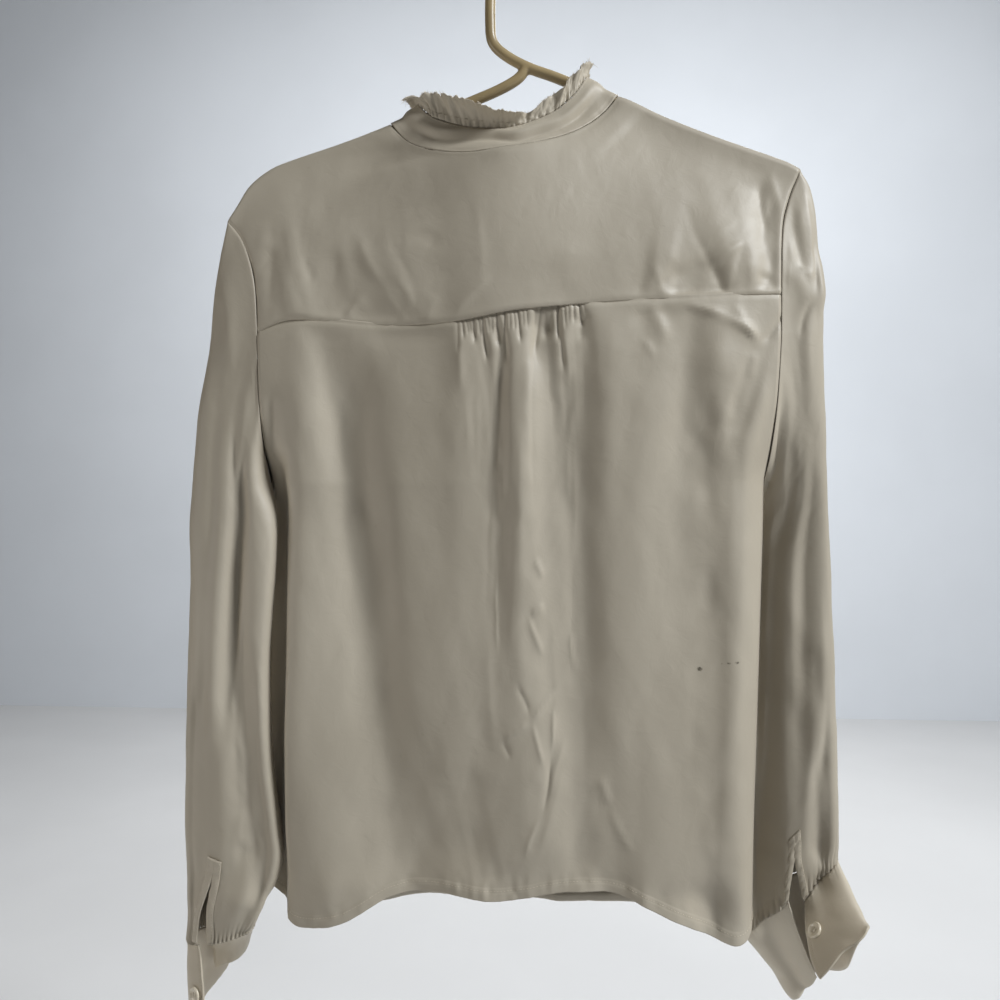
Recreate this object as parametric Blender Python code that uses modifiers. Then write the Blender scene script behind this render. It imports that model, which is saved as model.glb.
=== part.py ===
"""A long-sleeved silk blouse with a ruffled band collar, hanging on a tubular hanger.

Each piece that is cut and sewn is its own closed, thin-walled solid: a sheet mapped by a
function of the blouse's sizes, then given its wall. Tables and sizes are in millimetres, in
the blouse's own frame:

    +X  towards the wearer's right hand
    +Y  towards the front of the blouse, so its back faces -Y
    +Z  up
    origin  inside the crown of the hanger's hook, where a rail carries it
"""

import math
from bisect import bisect_right
from collections import namedtuple

import bmesh
import bpy
from mathutils import Vector

MM = 0.001

BACK, FRONT = -1, 1

# ---------------------------------------------------------------- driving sizes, millimetres

CLOTH_WALL = 1.1          # one layer of cloth
DOUBLED_WALL = 1.6        # collar, cuffs and front band, two layers and interfacing
SEAM_GAP = 0.3            # between pieces that are sewn edge to edge
SIDE_SEAM_GAP = 1.3       # and, wider, where the cloth turns a corner at the seam
CUFF_SEAM_GAP = 1.9
SHOULDER_SEAM_GAP = 1.0
COLLAR_SEAM_GAP = 1.4
RUFFLE_SEAM_GAP = 2.4

TUBE_RADIUS = 4.3         # the hanger's tube
TUBE_STEP = 12.5          # between points of its route
HOOK_RADIUS = 31.0        # centreline of the hook
HOOK_TIP_TURN = math.radians(-28)
ARM_LEFT_END_X = -201.0
ARM_RIGHT_END_X = 194.0
RIDGE_RADIUS = 5.9        # the cloth's turn over the hanger's arm

BACK_SPREAD = 30.0        # how far the back hangs out from the hanger's plane
FRONT_SPREAD = 28.0
SPREAD_DROP = 60.0        # the drop over which it gets there
NECK_SPREAD = 12.0        # the collar holds the neck open by this much more
NECK_X = -20.5
NECK_SPREAD_HALF = 62.0
NECK_SPREAD_FULL, NECK_SPREAD_FADE, NECK_SPREAD_END = 60.0, 90.0, 320.0     # drops

NECK_LEFT_X, NECK_RIGHT_X = -110.0, 69.0        # where the neck seam crosses the shoulders
STRAP_LEFT_X, STRAP_RIGHT_X = -101.5, 60.5      # the forward shoulder seams' ends at the neck
FRONT_SEAM_LEFT_X, FRONT_SEAM_RIGHT_X = -217.0, 192.5   # its ends at the armholes
TIP_LEFT_X, TIP_RIGHT_X = -240.0, 206.0         # tops of the armholes
TIP_LEFT_Z, TIP_RIGHT_Z = -216.0, -186.0
UNDERARM_Z = -425.0
UNDERARM_ROUND = 2.2      # keeps the sleeve's two faces apart beside the underarm
ARCH_Z = -230.0           # the ridge's round form gives way to the body's arched one
CLOSING_Z = -330.0        # the body starts to close towards its side seams
FOLD_START_REACH, FOLD_END_REACH = 60.0, 80.0   # drops over which a fold comes and goes
FOLD_EDGE_SHARE = 1.4     # folds fade where the arch falls below 1 / this
SEAM_LEFT_X, SEAM_RIGHT_X = -209.0, 187.4       # ends of the back yoke's seam
HEM_LEFT_X, HEM_RIGHT_X = -211.0, 169.0
CENTRE_TOP_X, CENTRE_HEM_X = -20.5, -16.0       # the middle of the front

GATHERS = 20
GATHER_LEFT_X, GATHER_RIGHT_X = -56.0, 43.0
GATHER_RISE = 0.8
GATHER_FADE = 26.0

BAND_WIDTH = 26.0         # button band
BAND_LIFT = 2.05          # middle of the band off the middle of the fronts
BUTTON_RADIUS, BUTTON_THICK = 5.6, 2.2
CUFF_BUTTON_RADIUS = 6.2
BAND_RIM_LIFT, COLLAR_RIM_LIFT = 0.35, 0.6      # clear the rims on bent cloth
COLLAR_BUTTON_SHARE = 0.014
FRONT_BUTTONS = 6
FIRST_BUTTON_Z, BUTTON_PITCH = -290.0, 82.0

CUFF_HEIGHT = 74.0
CUFF_COLUMNS, CUFF_ROWS = 40, 3
CUFF_GATHERS = 32
CUFF_GATHER_RISE = 0.7
CUFF_GATHER_CLEAR, CUFF_GATHER_FULL = 0.03, 0.11    # shares around, beside the slit
BINDING_WIDTH = 6.8
BINDING_LIFT = 1.85       # middle of a binding off the middle of the sleeve
BINDING_SPAN = 0.04       # share of the sleeve's way around over which its width is measured
SLIT_PULL_SPAN = 0.05     # share of the way around that gives when the slit is pulled open

SETTLE_AT_FOLDS, SETTLE_AT_FACES = 12.0, 30.0   # drops over which a sleeve leaves its armhole
ARMHOLE_OUT_TIP, ARMHOLE_OUT_UNDERARM = 0.8, 2.1    # a sleeve's edge stands off the body by this
ARMHOLE_UP_TIP, ARMHOLE_UP_UNDERARM = -0.9, 0.8
CREASE_START_REACH, CREASE_END_REACH = 50.0, 60.0

COLLAR_CROWDING = 0.55    # columns set closer together over the shoulders
COLLAR_SHOULDER_LIFT, COLLAR_SHOULDER_POWER = 1.9, 12   # its base stands higher over the ridge

RUFFLE_WALL = 1.0
RUFFLE_WAVES = 36
RUFFLE_HEIGHT = 19.0
RUFFLE_ROOT_RISE, RUFFLE_RISE = 0.7, 2.0        # waves at the seam and at the raw edge
RUFFLE_SWAY_WAVES, RUFFLE_SWAY = 7, 1.2         # the slow wave of the whole ruffle
RUFFLE_LEAN = 2.5
RUFFLE_HEIGHT_WAVES, RUFFLE_HEIGHT_SHARE = 5, 0.14
RUFFLE_CALM = 0.75        # share of the waves that goes over the shoulders
RUFFLE_LEFT_LOW, RUFFLE_RIGHT_LOW, RUFFLE_SIDE_POWER = 0.5, 0.2, 6
RUFFLE_DIP_TURN, RUFFLE_DIP_SPAN, RUFFLE_DIP_SHARE = 0.28, 0.035, 0.35      # fallen in, at the back

# ------------------------------------------------------------------------- short tables

Line = namedtuple("Line", "x z")

SHOULDER = (                       # the ridge, with the dome it would have across the neck
    Line(-240, -216), Line(-233, -206), Line(-222, -189), Line(-205, -176), Line(-187, -169),
    Line(-150, -157.5), Line(-110, -143.5), Line(-70, -127), Line(-20, -113), Line(30, -115),
    Line(69, -126.5), Line(103, -143), Line(138, -158), Line(164, -168), Line(195, -180),
    Line(206, -186),
)
NECK_BACK = (
    Line(-110, -143.5), Line(-99, -156), Line(-87, -164.5), Line(-64, -173.5), Line(-42, -177),
    Line(-22, -175.5), Line(0, -172), Line(25, -164), Line(44, -153), Line(58, -140.5),
    Line(69, -126.5),
)
NECK_FRONT = (
    Line(-110, -143.5), Line(-108.5, -155), Line(-106, -165), Line(-101.5, -176),
    Line(-89, -198), Line(-64, -219), Line(-20.5, -232), Line(21, -218), Line(46, -190),
    Line(60.5, -160), Line(66, -146), Line(68, -137), Line(69, -126.5),
)
FORWARD_LEFT = (Line(-217, -252), Line(-200, -231), Line(-160, -203), Line(-101.5, -176))
FORWARD_RIGHT = (Line(60.5, -160), Line(120, -184), Line(165, -205), Line(192.5, -222))
YOKE_SEAM = (
    Line(-209, -309), Line(-184, -301), Line(-150, -303), Line(-111, -307), Line(-58, -306),
    Line(-8, -298), Line(60, -292), Line(135, -288), Line(187.4, -285),
)
HEM_BACK = (
    Line(-211, -742), Line(-193, -752), Line(-180, -762), Line(-167, -763), Line(-139, -756),
    Line(-106, -738), Line(-66, -732), Line(-20, -735), Line(29, -727), Line(69, -729),
    Line(106, -746), Line(148, -767), Line(162, -767), Line(169, -758),
)
HEM_FRONT = (
    Line(-211, -742), Line(-190, -758), Line(-150, -766), Line(-100, -765), Line(-16, -763),
    Line(60, -763), Line(110, -766), Line(150, -770), Line(162, -767), Line(169, -758),
)

Armhole = namedtuple("Armhole", "z left right")
ARMHOLE = (
    Armhole(-186, -240, 206), Armhole(-194, -240, 202.5), Armhole(-204, -240, 198),
    Armhole(-216, -240, 194), Armhole(-224, -233.5, 191.7), Armhole(-233, -226.5, 190),
    Armhole(-249, -218.5, 188.6), Armhole(-265, -213.5, 188), Armhole(-285, -210.6, 187.4),
    Armhole(-317, -208.8, 187), Armhole(-342, -208, 185.5), Armhole(-372, -207, 183.5),
    Armhole(-400, -205.6, 181), Armhole(-425, -204, 178.5),
)

Side = namedtuple("Side", "z left right left_y right_y")
SIDE_SEAMS = (
    Side(-425, -204, 178.5, 0, 0), Side(-434, -203.4, 178, 2, -1), Side(-452, -205, 177.4, 5, -3),
    Side(-490, -213, 176, 8, -5), Side(-600, -216, 172.5, 8, -6), Side(-700, -213, 169.5, 8, -6),
    Side(-790, -209, 168.6, 7, -5),
)

# A fold runs down from the yoke seam. Its places along X are given at the seam and the hem,
# start and end are drops below the seam, and a negative depth is a ridge.
Fold = namedtuple("Fold", "top hem width depth start end")
BACK_FOLDS = (
    Fold(-166, -168, 20, -5, 20, 520), Fold(-136, -86, 21, 9, 5, 520),
    Fold(-62, -52, 24, -4, 20, 520), Fold(-20, -23, 6, 8, 0, 260),
    Fold(2, 12, 10, -6, 0, 400), Fold(24, 60, 13, 7, 10, 520),
    Fold(86, 96, 22, -4, 40, 520), Fold(138, 136, 13, 12, 40, 520),
    Fold(160, 162, 11, -5, 60, 520),
)
FRONT_FOLDS = (
    Fold(-168, -160, 18, -5, 60, 560), Fold(-122, -128, 17, 10, 30, 560),
    Fold(-78, -84, 16, -4, 60, 560), Fold(30, 24, 14, 6, 120, 560),
    Fold(72, 84, 20, -5, 60, 560), Fold(112, 122, 14, 10, 40, 560),
)

# Where a side of the body is pressed flat beside a sleeve: the share of its depth that goes.
Press = namedtuple("Press", "face from_x to_x share from_z to_z")
PRESSED = (
    Press(BACK, -184, -194, 0.86, -395, -446),
    Press(FRONT, 150, 168, 0.80, -395, -446),
)

# Rings of a sleeve, level cuts through its flattened tube from its outer to its inner fold.
Ring = namedtuple("Ring", "z outer inner outer_y inner_y half")
RINGS_LEFT = (
    Ring(-216, -240, -206, 0, 0, 12), Ring(-227, -243.5, -206, 0, 0, 14),
    Ring(-260, -248, -206, 0, 0, 16), Ring(-330, -255, -206, 0, -2, 18),
    Ring(-374, -260, -208.5, -1, -5, 18), Ring(-425, -264, -211.5, -2, -12, 17),
    Ring(-440, -265, -210, -2, -16, 17), Ring(-460, -267, -206, -3, -19, 16),
    Ring(-480, -267.5, -203, -4, -20, 16),
    Ring(-560, -270, -200.5, -5, -21, 16), Ring(-640, -271.5, -197.5, -4, -21, 17),
    Ring(-690, -272, -191.5, -4, -20, 17), Ring(-712, -272, -190, -4, -20, 17),
    Ring(-734, -272, -196, -3, -19, 16), Ring(-756, -272, -210, -3, -17, 15),
    Ring(-772, -271.5, -216, -3, -16, 12.5), Ring(-800, -271, -218, -3, -15, 12),
)
RINGS_RIGHT = (
    Ring(-186, 206, 187, 0, 0, 9), Ring(-195, 214, 187, 0, 0, 12),
    Ring(-212, 216.5, 187, 0, 0, 14), Ring(-239, 218, 186, 0, 1, 16),
    Ring(-301, 221, 185, 1, 3, 18), Ring(-389, 225, 184, 2, 10, 18),
    Ring(-425, 226.5, 182.5, 3, 17, 16), Ring(-442, 227, 179, 4, 21, 15),
    Ring(-462, 228, 169, 4, 24.5, 14), Ring(-490, 229, 160, 4, 25.5, 13.5),
    Ring(-600, 233, 157, 4, 26, 13.5),
    Ring(-680, 235, 158, 3, 25, 14), Ring(-700, 235, 160, 3, 24, 14),
    Ring(-714, 233, 160, 2, 23, 14), Ring(-745, 232, 161, 1, 22, 14),
    Ring(-774, 231, 164, 0, 20, 13.5),
)

# A crease of a sleeve, by its place around the ring: 0 outer fold, 0.25 back, 0.5 inner, 0.75 front.
Crease = namedtuple("Crease", "top bottom width depth start end")
CREASES_LEFT = (
    Crease(0.300, 0.262, 0.034, 9, -250, -640), Crease(0.36, 0.38, 0.036, 5, -540, -800),
    Crease(0.14, 0.12, 0.036, 4, -560, -800), Crease(0.70, 0.72, 0.040, 8, -300, -800),
    Crease(0.86, 0.84, 0.036, 5, -420, -800),
)
CREASES_RIGHT = (
    Crease(0.165, 0.150, 0.036, 6, -200, -330), Crease(0.29, 0.33, 0.040, 6, -430, -800),
    Crease(0.15, 0.14, 0.034, 5, -540, -800), Crease(0.72, 0.70, 0.040, 7, -340, -800),
    Crease(0.85, 0.83, 0.036, 5, -450, -800),
)

# How the cuff's cloth runs down from its seam: around 0 is the slit edge beside the inner fold.
Station = namedtuple("Station", "around upper_x upper_y upper_z lower_x lower_y lower_z")
CUFF_LEFT_FALL = (
    Station(0.00, -0.28, 0.93, -0.14, -0.02, 0.26, -0.96),
    Station(0.15, -0.30, 0.92, -0.20, -0.12, 0.45, -0.88),
    Station(0.31, -0.31, 0.84, -0.42, -0.32, 0.82, -0.48),
    Station(0.50, -0.31, 0.82, -0.48, -0.30, 0.77, -0.56),
    Station(0.60, -0.13, 0.68, -0.72, -0.12, 0.61, -0.78),
    Station(0.68, -0.06, 0.60, -0.80, -0.06, 0.50, -0.86),
    Station(0.81, -0.06, 0.34, -0.94, -0.04, 0.26, -0.96),
    Station(0.93, 0.05, 0.00, -1.00, 0.05, 0.00, -1.00),
    Station(1.00, 0.26, -0.12, -0.96, -0.06, -0.04, -0.99),
)
CUFF_RIGHT_FALL = (
    Station(0.00, 0.30, 0.16, -0.94, 0.40, 0.36, -0.84),
    Station(0.26, 0.58, 0.20, -0.79, 0.60, 0.24, -0.76),
    Station(0.51, 0.44, 0.08, -0.89, 0.42, 0.00, -0.90),
    Station(0.65, 0.32, -0.44, -0.84, 0.06, -0.92, -0.38),
    Station(0.77, 0.18, -0.66, -0.73, -0.04, -0.98, 0.16),
    Station(0.90, 0.08, -0.74, -0.67, -0.06, -1.00, 0.08),
    Station(1.00, -0.10, -0.60, -0.79, 0.00, -0.99, 0.04),
)

Sleeve = namedtuple(
    "Sleeve", "side rings creases tip_z underarm_y outer_seam_z inner_seam_z seam_tilt "
    "slit_around slit_seam_around slit_top_z open_from_z open_to_z open_half fall "
    "button_around button_down button_lift")
SLEEVE_LEFT = Sleeve(
    side=-1, rings=RINGS_LEFT, creases=CREASES_LEFT, tip_z=TIP_LEFT_Z, underarm_y=-2.6,
    outer_seam_z=-786.0, inner_seam_z=-771.0, seam_tilt=3.5,
    slit_around=0.225, slit_seam_around=0.190, slit_top_z=-716.0,
    open_from_z=-716.0, open_to_z=-790.0, open_half=4.4, fall=CUFF_LEFT_FALL,
    button_around=0.955, button_down=0.50, button_lift=0.15)
SLEEVE_RIGHT = Sleeve(
    side=1, rings=RINGS_RIGHT, creases=CREASES_RIGHT, tip_z=TIP_RIGHT_Z, underarm_y=2.6,
    outer_seam_z=-712.0, inner_seam_z=-776.0, seam_tilt=4.0,
    slit_around=0.238, slit_seam_around=0.220, slit_top_z=-692.0,
    open_from_z=-706.0, open_to_z=-750.0, open_half=5.8, fall=CUFF_RIGHT_FALL,
    button_around=0.965, button_down=0.42, button_lift=0.9)

# ------------------------------------------------------------------------- colours

Finish = namedtuple("Finish", "name colour roughness")
SILK = Finish("silk", (0.50, 0.45, 0.36, 1.0), 0.42)
HANGER_PLASTIC = Finish("hanger_plastic", (0.36, 0.30, 0.20, 1.0), 0.40)
BUTTON_PLASTIC = Finish("button_plastic", (0.62, 0.57, 0.45, 1.0), 0.28)


# ------------------------------------------------------------------------- small maths

def mix(low, high, share):
    return low + (high - low) * share


def ease(start, end, at):
    """0 before start, 1 past end, and a smooth step between them."""
    share = min(max((at - start) / (end - start), 0.0), 1.0)
    return share * share * (3.0 - 2.0 * share)


def smooth_curve(rows, key, column):
    """A function that runs smoothly through one column of a table, read against another."""
    points = sorted((getattr(row, key), getattr(row, column)) for row in rows)
    places = [place for place, _ in points]
    values = [value for _, value in points]
    last = len(points) - 1
    slopes = []
    for index in range(last + 1):
        low, high = max(index - 1, 0), min(index + 1, last)
        slopes.append((values[high] - values[low]) / (places[high] - places[low]))

    def curve(at):
        if at <= places[0]:
            return values[0]
        if at >= places[-1]:
            return values[-1]
        index = bisect_right(places, at) - 1
        span = places[index + 1] - places[index]
        t = (at - places[index]) / span
        return ((2 * t ** 3 - 3 * t ** 2 + 1) * values[index]
                + (t ** 3 - 2 * t ** 2 + t) * span * slopes[index]
                + (3 * t ** 2 - 2 * t ** 3) * values[index + 1]
                + (t ** 3 - t ** 2) * span * slopes[index + 1])

    return curve


shoulder_z = smooth_curve(SHOULDER, "x", "z")
neck_back_z = smooth_curve(NECK_BACK, "x", "z")
neck_front_z = smooth_curve(NECK_FRONT, "x", "z")
forward_left_z = smooth_curve(FORWARD_LEFT, "x", "z")
forward_right_z = smooth_curve(FORWARD_RIGHT, "x", "z")
yoke_seam_z = smooth_curve(YOKE_SEAM, "x", "z")
hem_back_z = smooth_curve(HEM_BACK, "x", "z")
hem_front_z = smooth_curve(HEM_FRONT, "x", "z")
armhole_left_x = smooth_curve(ARMHOLE, "z", "left")
armhole_right_x = smooth_curve(ARMHOLE, "z", "right")
side_left_x = smooth_curve(SIDE_SEAMS, "z", "left")
side_right_x = smooth_curve(SIDE_SEAMS, "z", "right")
side_left_y = smooth_curve(SIDE_SEAMS, "z", "left_y")
side_right_y = smooth_curve(SIDE_SEAMS, "z", "right_y")
left_outline_x = smooth_curve(RINGS_LEFT, "z", "outer")
right_outline_x = smooth_curve(RINGS_RIGHT, "z", "outer")


# ------------------------------------------------------------------------- the body's form

def body_left_x(z):
    """The body's left edge: the armhole, and below it the side seam."""
    return armhole_left_x(z) if z > UNDERARM_Z else side_left_x(z)


def body_right_x(z):
    return armhole_right_x(z) if z > UNDERARM_Z else side_right_x(z)


def fold_depth(folds, x, z):
    """How far the folds push the cloth in at a place below the yoke seam."""
    drop = yoke_seam_z(x) - z
    length = yoke_seam_z(x) - hem_back_z(x)
    depth = 0.0
    for fold in folds:
        path = mix(fold.top, fold.hem, drop / length)
        reach = ease(fold.start, fold.start + FOLD_START_REACH, drop)
        reach *= ease(fold.end, fold.end - FOLD_END_REACH, drop)
        depth += fold.depth * reach * math.exp(-((x - path) / fold.width) ** 2)
    return depth


def body_y(x, z, face):
    """The cloth's middle surface, back or front, at a place across and down the body."""
    drop = max(shoulder_z(x) - z, 0.0)
    closing = ease(CLOSING_Z, UNDERARM_Z, z)
    left = mix(left_outline_x(z), side_left_x(z), closing)
    right = mix(right_outline_x(z), side_right_x(z), closing)
    across = (2.0 * x - left - right) / (right - left)
    arch = math.sqrt(max(1.0 - across ** 4, 0.0))

    if drop < RIDGE_RADIUS:
        ridge = math.sqrt(drop * (2.0 * RIDGE_RADIUS - drop))
        below = 0.0
    else:
        ridge = RIDGE_RADIUS
        below = drop - RIDGE_RADIUS
    spread = BACK_SPREAD if face == BACK else FRONT_SPREAD
    depth = spread * below ** 2 / (below ** 2 + SPREAD_DROP ** 2)
    neck = math.exp(-((x - NECK_X) / NECK_SPREAD_HALF) ** 2)
    neck *= ease(0.0, NECK_SPREAD_FULL, below) * ease(NECK_SPREAD_END, NECK_SPREAD_FADE, below)
    depth += NECK_SPREAD * neck

    for press in PRESSED:
        if press.face == face:
            pressed = ease(press.from_x, press.to_x, x) * ease(press.from_z, press.to_z, z)
            arch *= 1.0 - press.share * pressed
    outward = ridge * mix(1.0, arch, ease(ARCH_Z, CLOSING_Z, z)) + depth * arch
    folds = BACK_FOLDS if face == BACK else FRONT_FOLDS
    outward -= fold_depth(folds, x, z) * min(arch * FOLD_EDGE_SHARE, 1.0)
    outward += 0.5 * SIDE_SEAM_GAP * closing
    middle = mix(side_left_y(z), side_right_y(z), (across + 1.0) / 2.0)
    return middle + face * outward


def panel_place(u, v, face, top, bottom, edges):
    """Point (x, y, z) of a panel between a top and a bottom line and its two side edges.

    edges holds, for the left and the right edge, X as a function of Z and its top and
    bottom X; u runs from left to right and v from the top line to the bottom line.
    """
    (left_x, left_top, left_bottom), (right_x, right_top, right_bottom) = edges
    high = top(mix(left_top, right_top, u))
    low = bottom(mix(left_bottom, right_bottom, u))
    left = left_x(mix(top(left_top), bottom(left_bottom), v))
    right = right_x(mix(top(right_top), bottom(right_bottom), v))
    x = mix(left, right, u)
    z = mix(high, low, v)
    return x, body_y(x, z, face), z


# ------------------------------------------------------------------------- scene and mesh

def clear_scene():
    for item in list(bpy.data.objects):
        bpy.data.objects.remove(item, do_unlink=True)


def make_collection(name):
    collection = bpy.data.collections.new(name)
    bpy.context.scene.collection.children.link(collection)
    return collection


def make_material(finish):
    material = bpy.data.materials.new(finish.name)
    material.use_nodes = True
    shader = material.node_tree.nodes["Principled BSDF"]
    shader.inputs["Base Color"].default_value = finish.colour
    shader.inputs["Roughness"].default_value = finish.roughness
    shader.inputs["Metallic"].default_value = 0.0
    material.diffuse_color = finish.colour
    return material


def add_object(name, bm, collection, material):
    mesh = bpy.data.meshes.new(name)
    bm.to_mesh(mesh)
    bm.free()
    mesh.materials.append(material)
    mesh.shade_smooth()
    item = bpy.data.objects.new(name, mesh)
    collection.objects.link(item)
    return item


def index_grid(columns, rows):
    """A flat grid whose vertices stand at whole numbers, column by row."""
    bm = bmesh.new()
    bmesh.ops.create_grid(bm, x_segments=columns, y_segments=rows, size=0.5)
    for vertex in bm.verts:
        vertex.co = (round((vertex.co.x + 0.5) * columns), round((vertex.co.y + 0.5) * rows), 0.0)
    return bm


def thin_columns(bm, keep):
    """Dissolve the upright edges of a grid that keep(column, row) turns down."""
    spare = []
    for edge in bm.edges:
        first, second = edge.verts
        if round(first.co.x) != round(second.co.x):
            continue
        row = round(min(first.co.y, second.co.y))
        if not keep(round(first.co.x), row):
            spare.append(edge)
    bmesh.ops.dissolve_edges(bm, edges=spare, use_verts=True)


def delete_faces(bm, drop):
    """Delete the faces of a grid that drop(column, row) names, by their first corner."""
    spare = []
    for face in bm.faces:
        column = round(min(vertex.co.x for vertex in face.verts))
        row = round(min(vertex.co.y for vertex in face.verts))
        if drop(column, row):
            spare.append(face)
    bmesh.ops.delete(bm, geom=spare, context="FACES")


def cloth(name, collection, material, bm, place, wall=CLOTH_WALL):
    """Map a flat grid by place(column, row), in millimetres, and give it its wall."""
    for vertex in bm.verts:
        vertex.co = Vector(place(round(vertex.co.x), round(vertex.co.y))) * MM
    bmesh.ops.remove_doubles(bm, verts=bm.verts, dist=0.00002)
    bmesh.ops.triangulate(bm, faces=bm.faces[:])
    item = add_object(name, bm, collection, material)
    solidify = item.modifiers.new("wall", "SOLIDIFY")
    solidify.thickness = wall * MM
    solidify.offset = 0.0
    return item


def steps(start, end, count):
    """count equal steps from start, leaving the end out."""
    return [mix(start, end, index / count) for index in range(count)]


def surface_normal(place, u, v, reach):
    """Unit normal of a mapped surface, by small steps in u and v."""
    along = Vector(place(u + reach, v)) - Vector(place(u - reach, v))
    down = Vector(place(u, v + reach)) - Vector(place(u, v - reach))
    return along.cross(down).normalized()


# ------------------------------------------------------------------------- yoke and panels

YOKE_DROPS = (0.0, 1.7, 5.9, 13.0)            # rows beside the ridge
YOKE_SHARES = (0.24, 0.48, 0.74, 1.0)         # rows on down to the yoke seam
STRAP_DROPS = (1.7, 5.9)
STRAP_SHARES = (0.45, 0.72, 1.0)
NECK_CORNER_STEPS = (0.5, 2.0)                # columns beside the ends of the neck seam, mm

# A column of the back: the share across, and the rows it is for. EVERYWHERE runs from the
# shoulder to the hem, UPPER stops halfway down the panel, GATHERED is for the gathers alone
# and CORNER for the turn of the neck seam over the ridge.
Column = namedtuple("Column", "share use")
EVERYWHERE, UPPER, GATHERED, CORNER = range(4)


def yoke_top_z(x):
    return neck_back_z(x) if NECK_LEFT_X < x < NECK_RIGHT_X else shoulder_z(x)


def back_columns():
    """The columns that the yoke and the back panel share, so that their seam edges agree."""
    width = TIP_RIGHT_X - TIP_LEFT_X
    neck_left = (NECK_LEFT_X - TIP_LEFT_X) / width
    neck_right = (NECK_RIGHT_X - TIP_LEFT_X) / width
    gather_left = (GATHER_LEFT_X - SEAM_LEFT_X) / (SEAM_RIGHT_X - SEAM_LEFT_X)
    gather_right = (GATHER_RIGHT_X - SEAM_LEFT_X) / (SEAM_RIGHT_X - SEAM_LEFT_X)
    plain = [0.0, 0.017, 0.032, 0.046, 0.060] + steps(0.080, neck_left, 5)
    plain += steps(neck_left, gather_left, 3) + steps(gather_right, neck_right, 2)
    plain += steps(neck_right, 0.94, 6) + [0.94, 0.98, 1.0]
    columns = [Column(share, EVERYWHERE) for share in plain]
    for index, share in enumerate(steps(gather_left, gather_right, 2 * GATHERS)):
        use = EVERYWHERE if index % 4 == 0 else UPPER if index % 2 == 0 else GATHERED
        columns.append(Column(share, use))
    for step in NECK_CORNER_STEPS:
        columns.append(Column(neck_left + step / width, CORNER))
        columns.append(Column(neck_right - step / width, CORNER))
    return sorted(columns), neck_left, neck_right


def make_yoke(collection, material):
    columns, neck_left, neck_right = back_columns()
    columns = [column for column in columns if column.use != GATHERED]
    strap_rows = len(STRAP_DROPS) + len(STRAP_SHARES)
    last_row = strap_rows + len(YOKE_DROPS) + len(YOKE_SHARES) - 1
    bm = index_grid(len(columns) - 1, last_row)

    def keep(column, row):
        if columns[column].use == UPPER:
            return row == last_row - 1
        return columns[column].use != CORNER or row < strap_rows + 3

    thin_columns(bm, keep)
    delete_faces(bm, lambda column, row: row < strap_rows
                 and neck_left <= columns[column].share < neck_right)

    def place(column, row):
        u = columns[column].share
        x_top = mix(TIP_LEFT_X, TIP_RIGHT_X, u)
        high = yoke_top_z(x_top)
        if row < strap_rows:
            return strap_point(x_top, high, strap_rows - 1 - row)
        low = yoke_seam_z(mix(SEAM_LEFT_X, SEAM_RIGHT_X, u)) + SEAM_GAP / 2
        row -= strap_rows
        if row < len(YOKE_DROPS):
            v = YOKE_DROPS[row] / (high - low)
        else:
            v = mix(YOKE_DROPS[-1] / (high - low), 1.0, YOKE_SHARES[row - len(YOKE_DROPS)])
        left = armhole_left_x(mix(TIP_LEFT_Z, yoke_seam_z(SEAM_LEFT_X), v))
        right = armhole_right_x(mix(TIP_RIGHT_Z, yoke_seam_z(SEAM_RIGHT_X), v))
        x, z = mix(left, right, u), mix(high, low, v)
        return x, body_y(x, z, BACK), z

    return cloth("back_yoke", collection, material, bm, place)


def strap_point(x_top, high, row):
    """A point in front of the ridge, where the yoke runs on to the forward shoulder seam."""
    if x_top < NECK_X:
        neck, strap, tip, tip_z = NECK_LEFT_X, STRAP_LEFT_X, TIP_LEFT_X, TIP_LEFT_Z
        end_x, seam_z, armhole_x = FRONT_SEAM_LEFT_X, forward_left_z, armhole_left_x
    else:
        neck, strap, tip, tip_z = NECK_RIGHT_X, STRAP_RIGHT_X, TIP_RIGHT_X, TIP_RIGHT_Z
        end_x, seam_z, armhole_x = FRONT_SEAM_RIGHT_X, forward_right_z, armhole_right_x
    u = (x_top - tip) / (neck - tip)
    low = seam_z(mix(end_x, strap, u)) + SHOULDER_SEAM_GAP / 2
    if row < len(STRAP_DROPS):
        v = STRAP_DROPS[row] / (high - low)
    else:
        v = STRAP_SHARES[row - len(STRAP_DROPS)]
    armhole = armhole_x(mix(tip_z, seam_z(end_x), v))
    x = mix(armhole, mix(neck, strap, v ** 1.5), u)
    z = mix(high, low, v)
    return x, body_y(x, z, FRONT), z


def gather_wave(x, drop):
    """The small waves of the gathers, which run out below the seam."""
    if not GATHER_LEFT_X < x < GATHER_RIGHT_X:
        return 0.0
    share = (x - GATHER_LEFT_X) / (GATHER_RIGHT_X - GATHER_LEFT_X)
    rise = GATHER_RISE * (0.8 + 0.2 * math.sin(5.0 * math.pi * share))
    return rise * math.cos(2.0 * math.pi * GATHERS * share) * ease(GATHER_FADE, 0.0, drop)


PANEL_DROPS = (0.3, 6.0, 14.0, 26.0, 62.0, 104.0, 148.0, 200.0, 256.0, 314.0, 370.0, 415.0)
PANEL_DEEPEST = 440.0
FINE_ROWS = 3
MEDIUM_ROWS = 8


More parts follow.
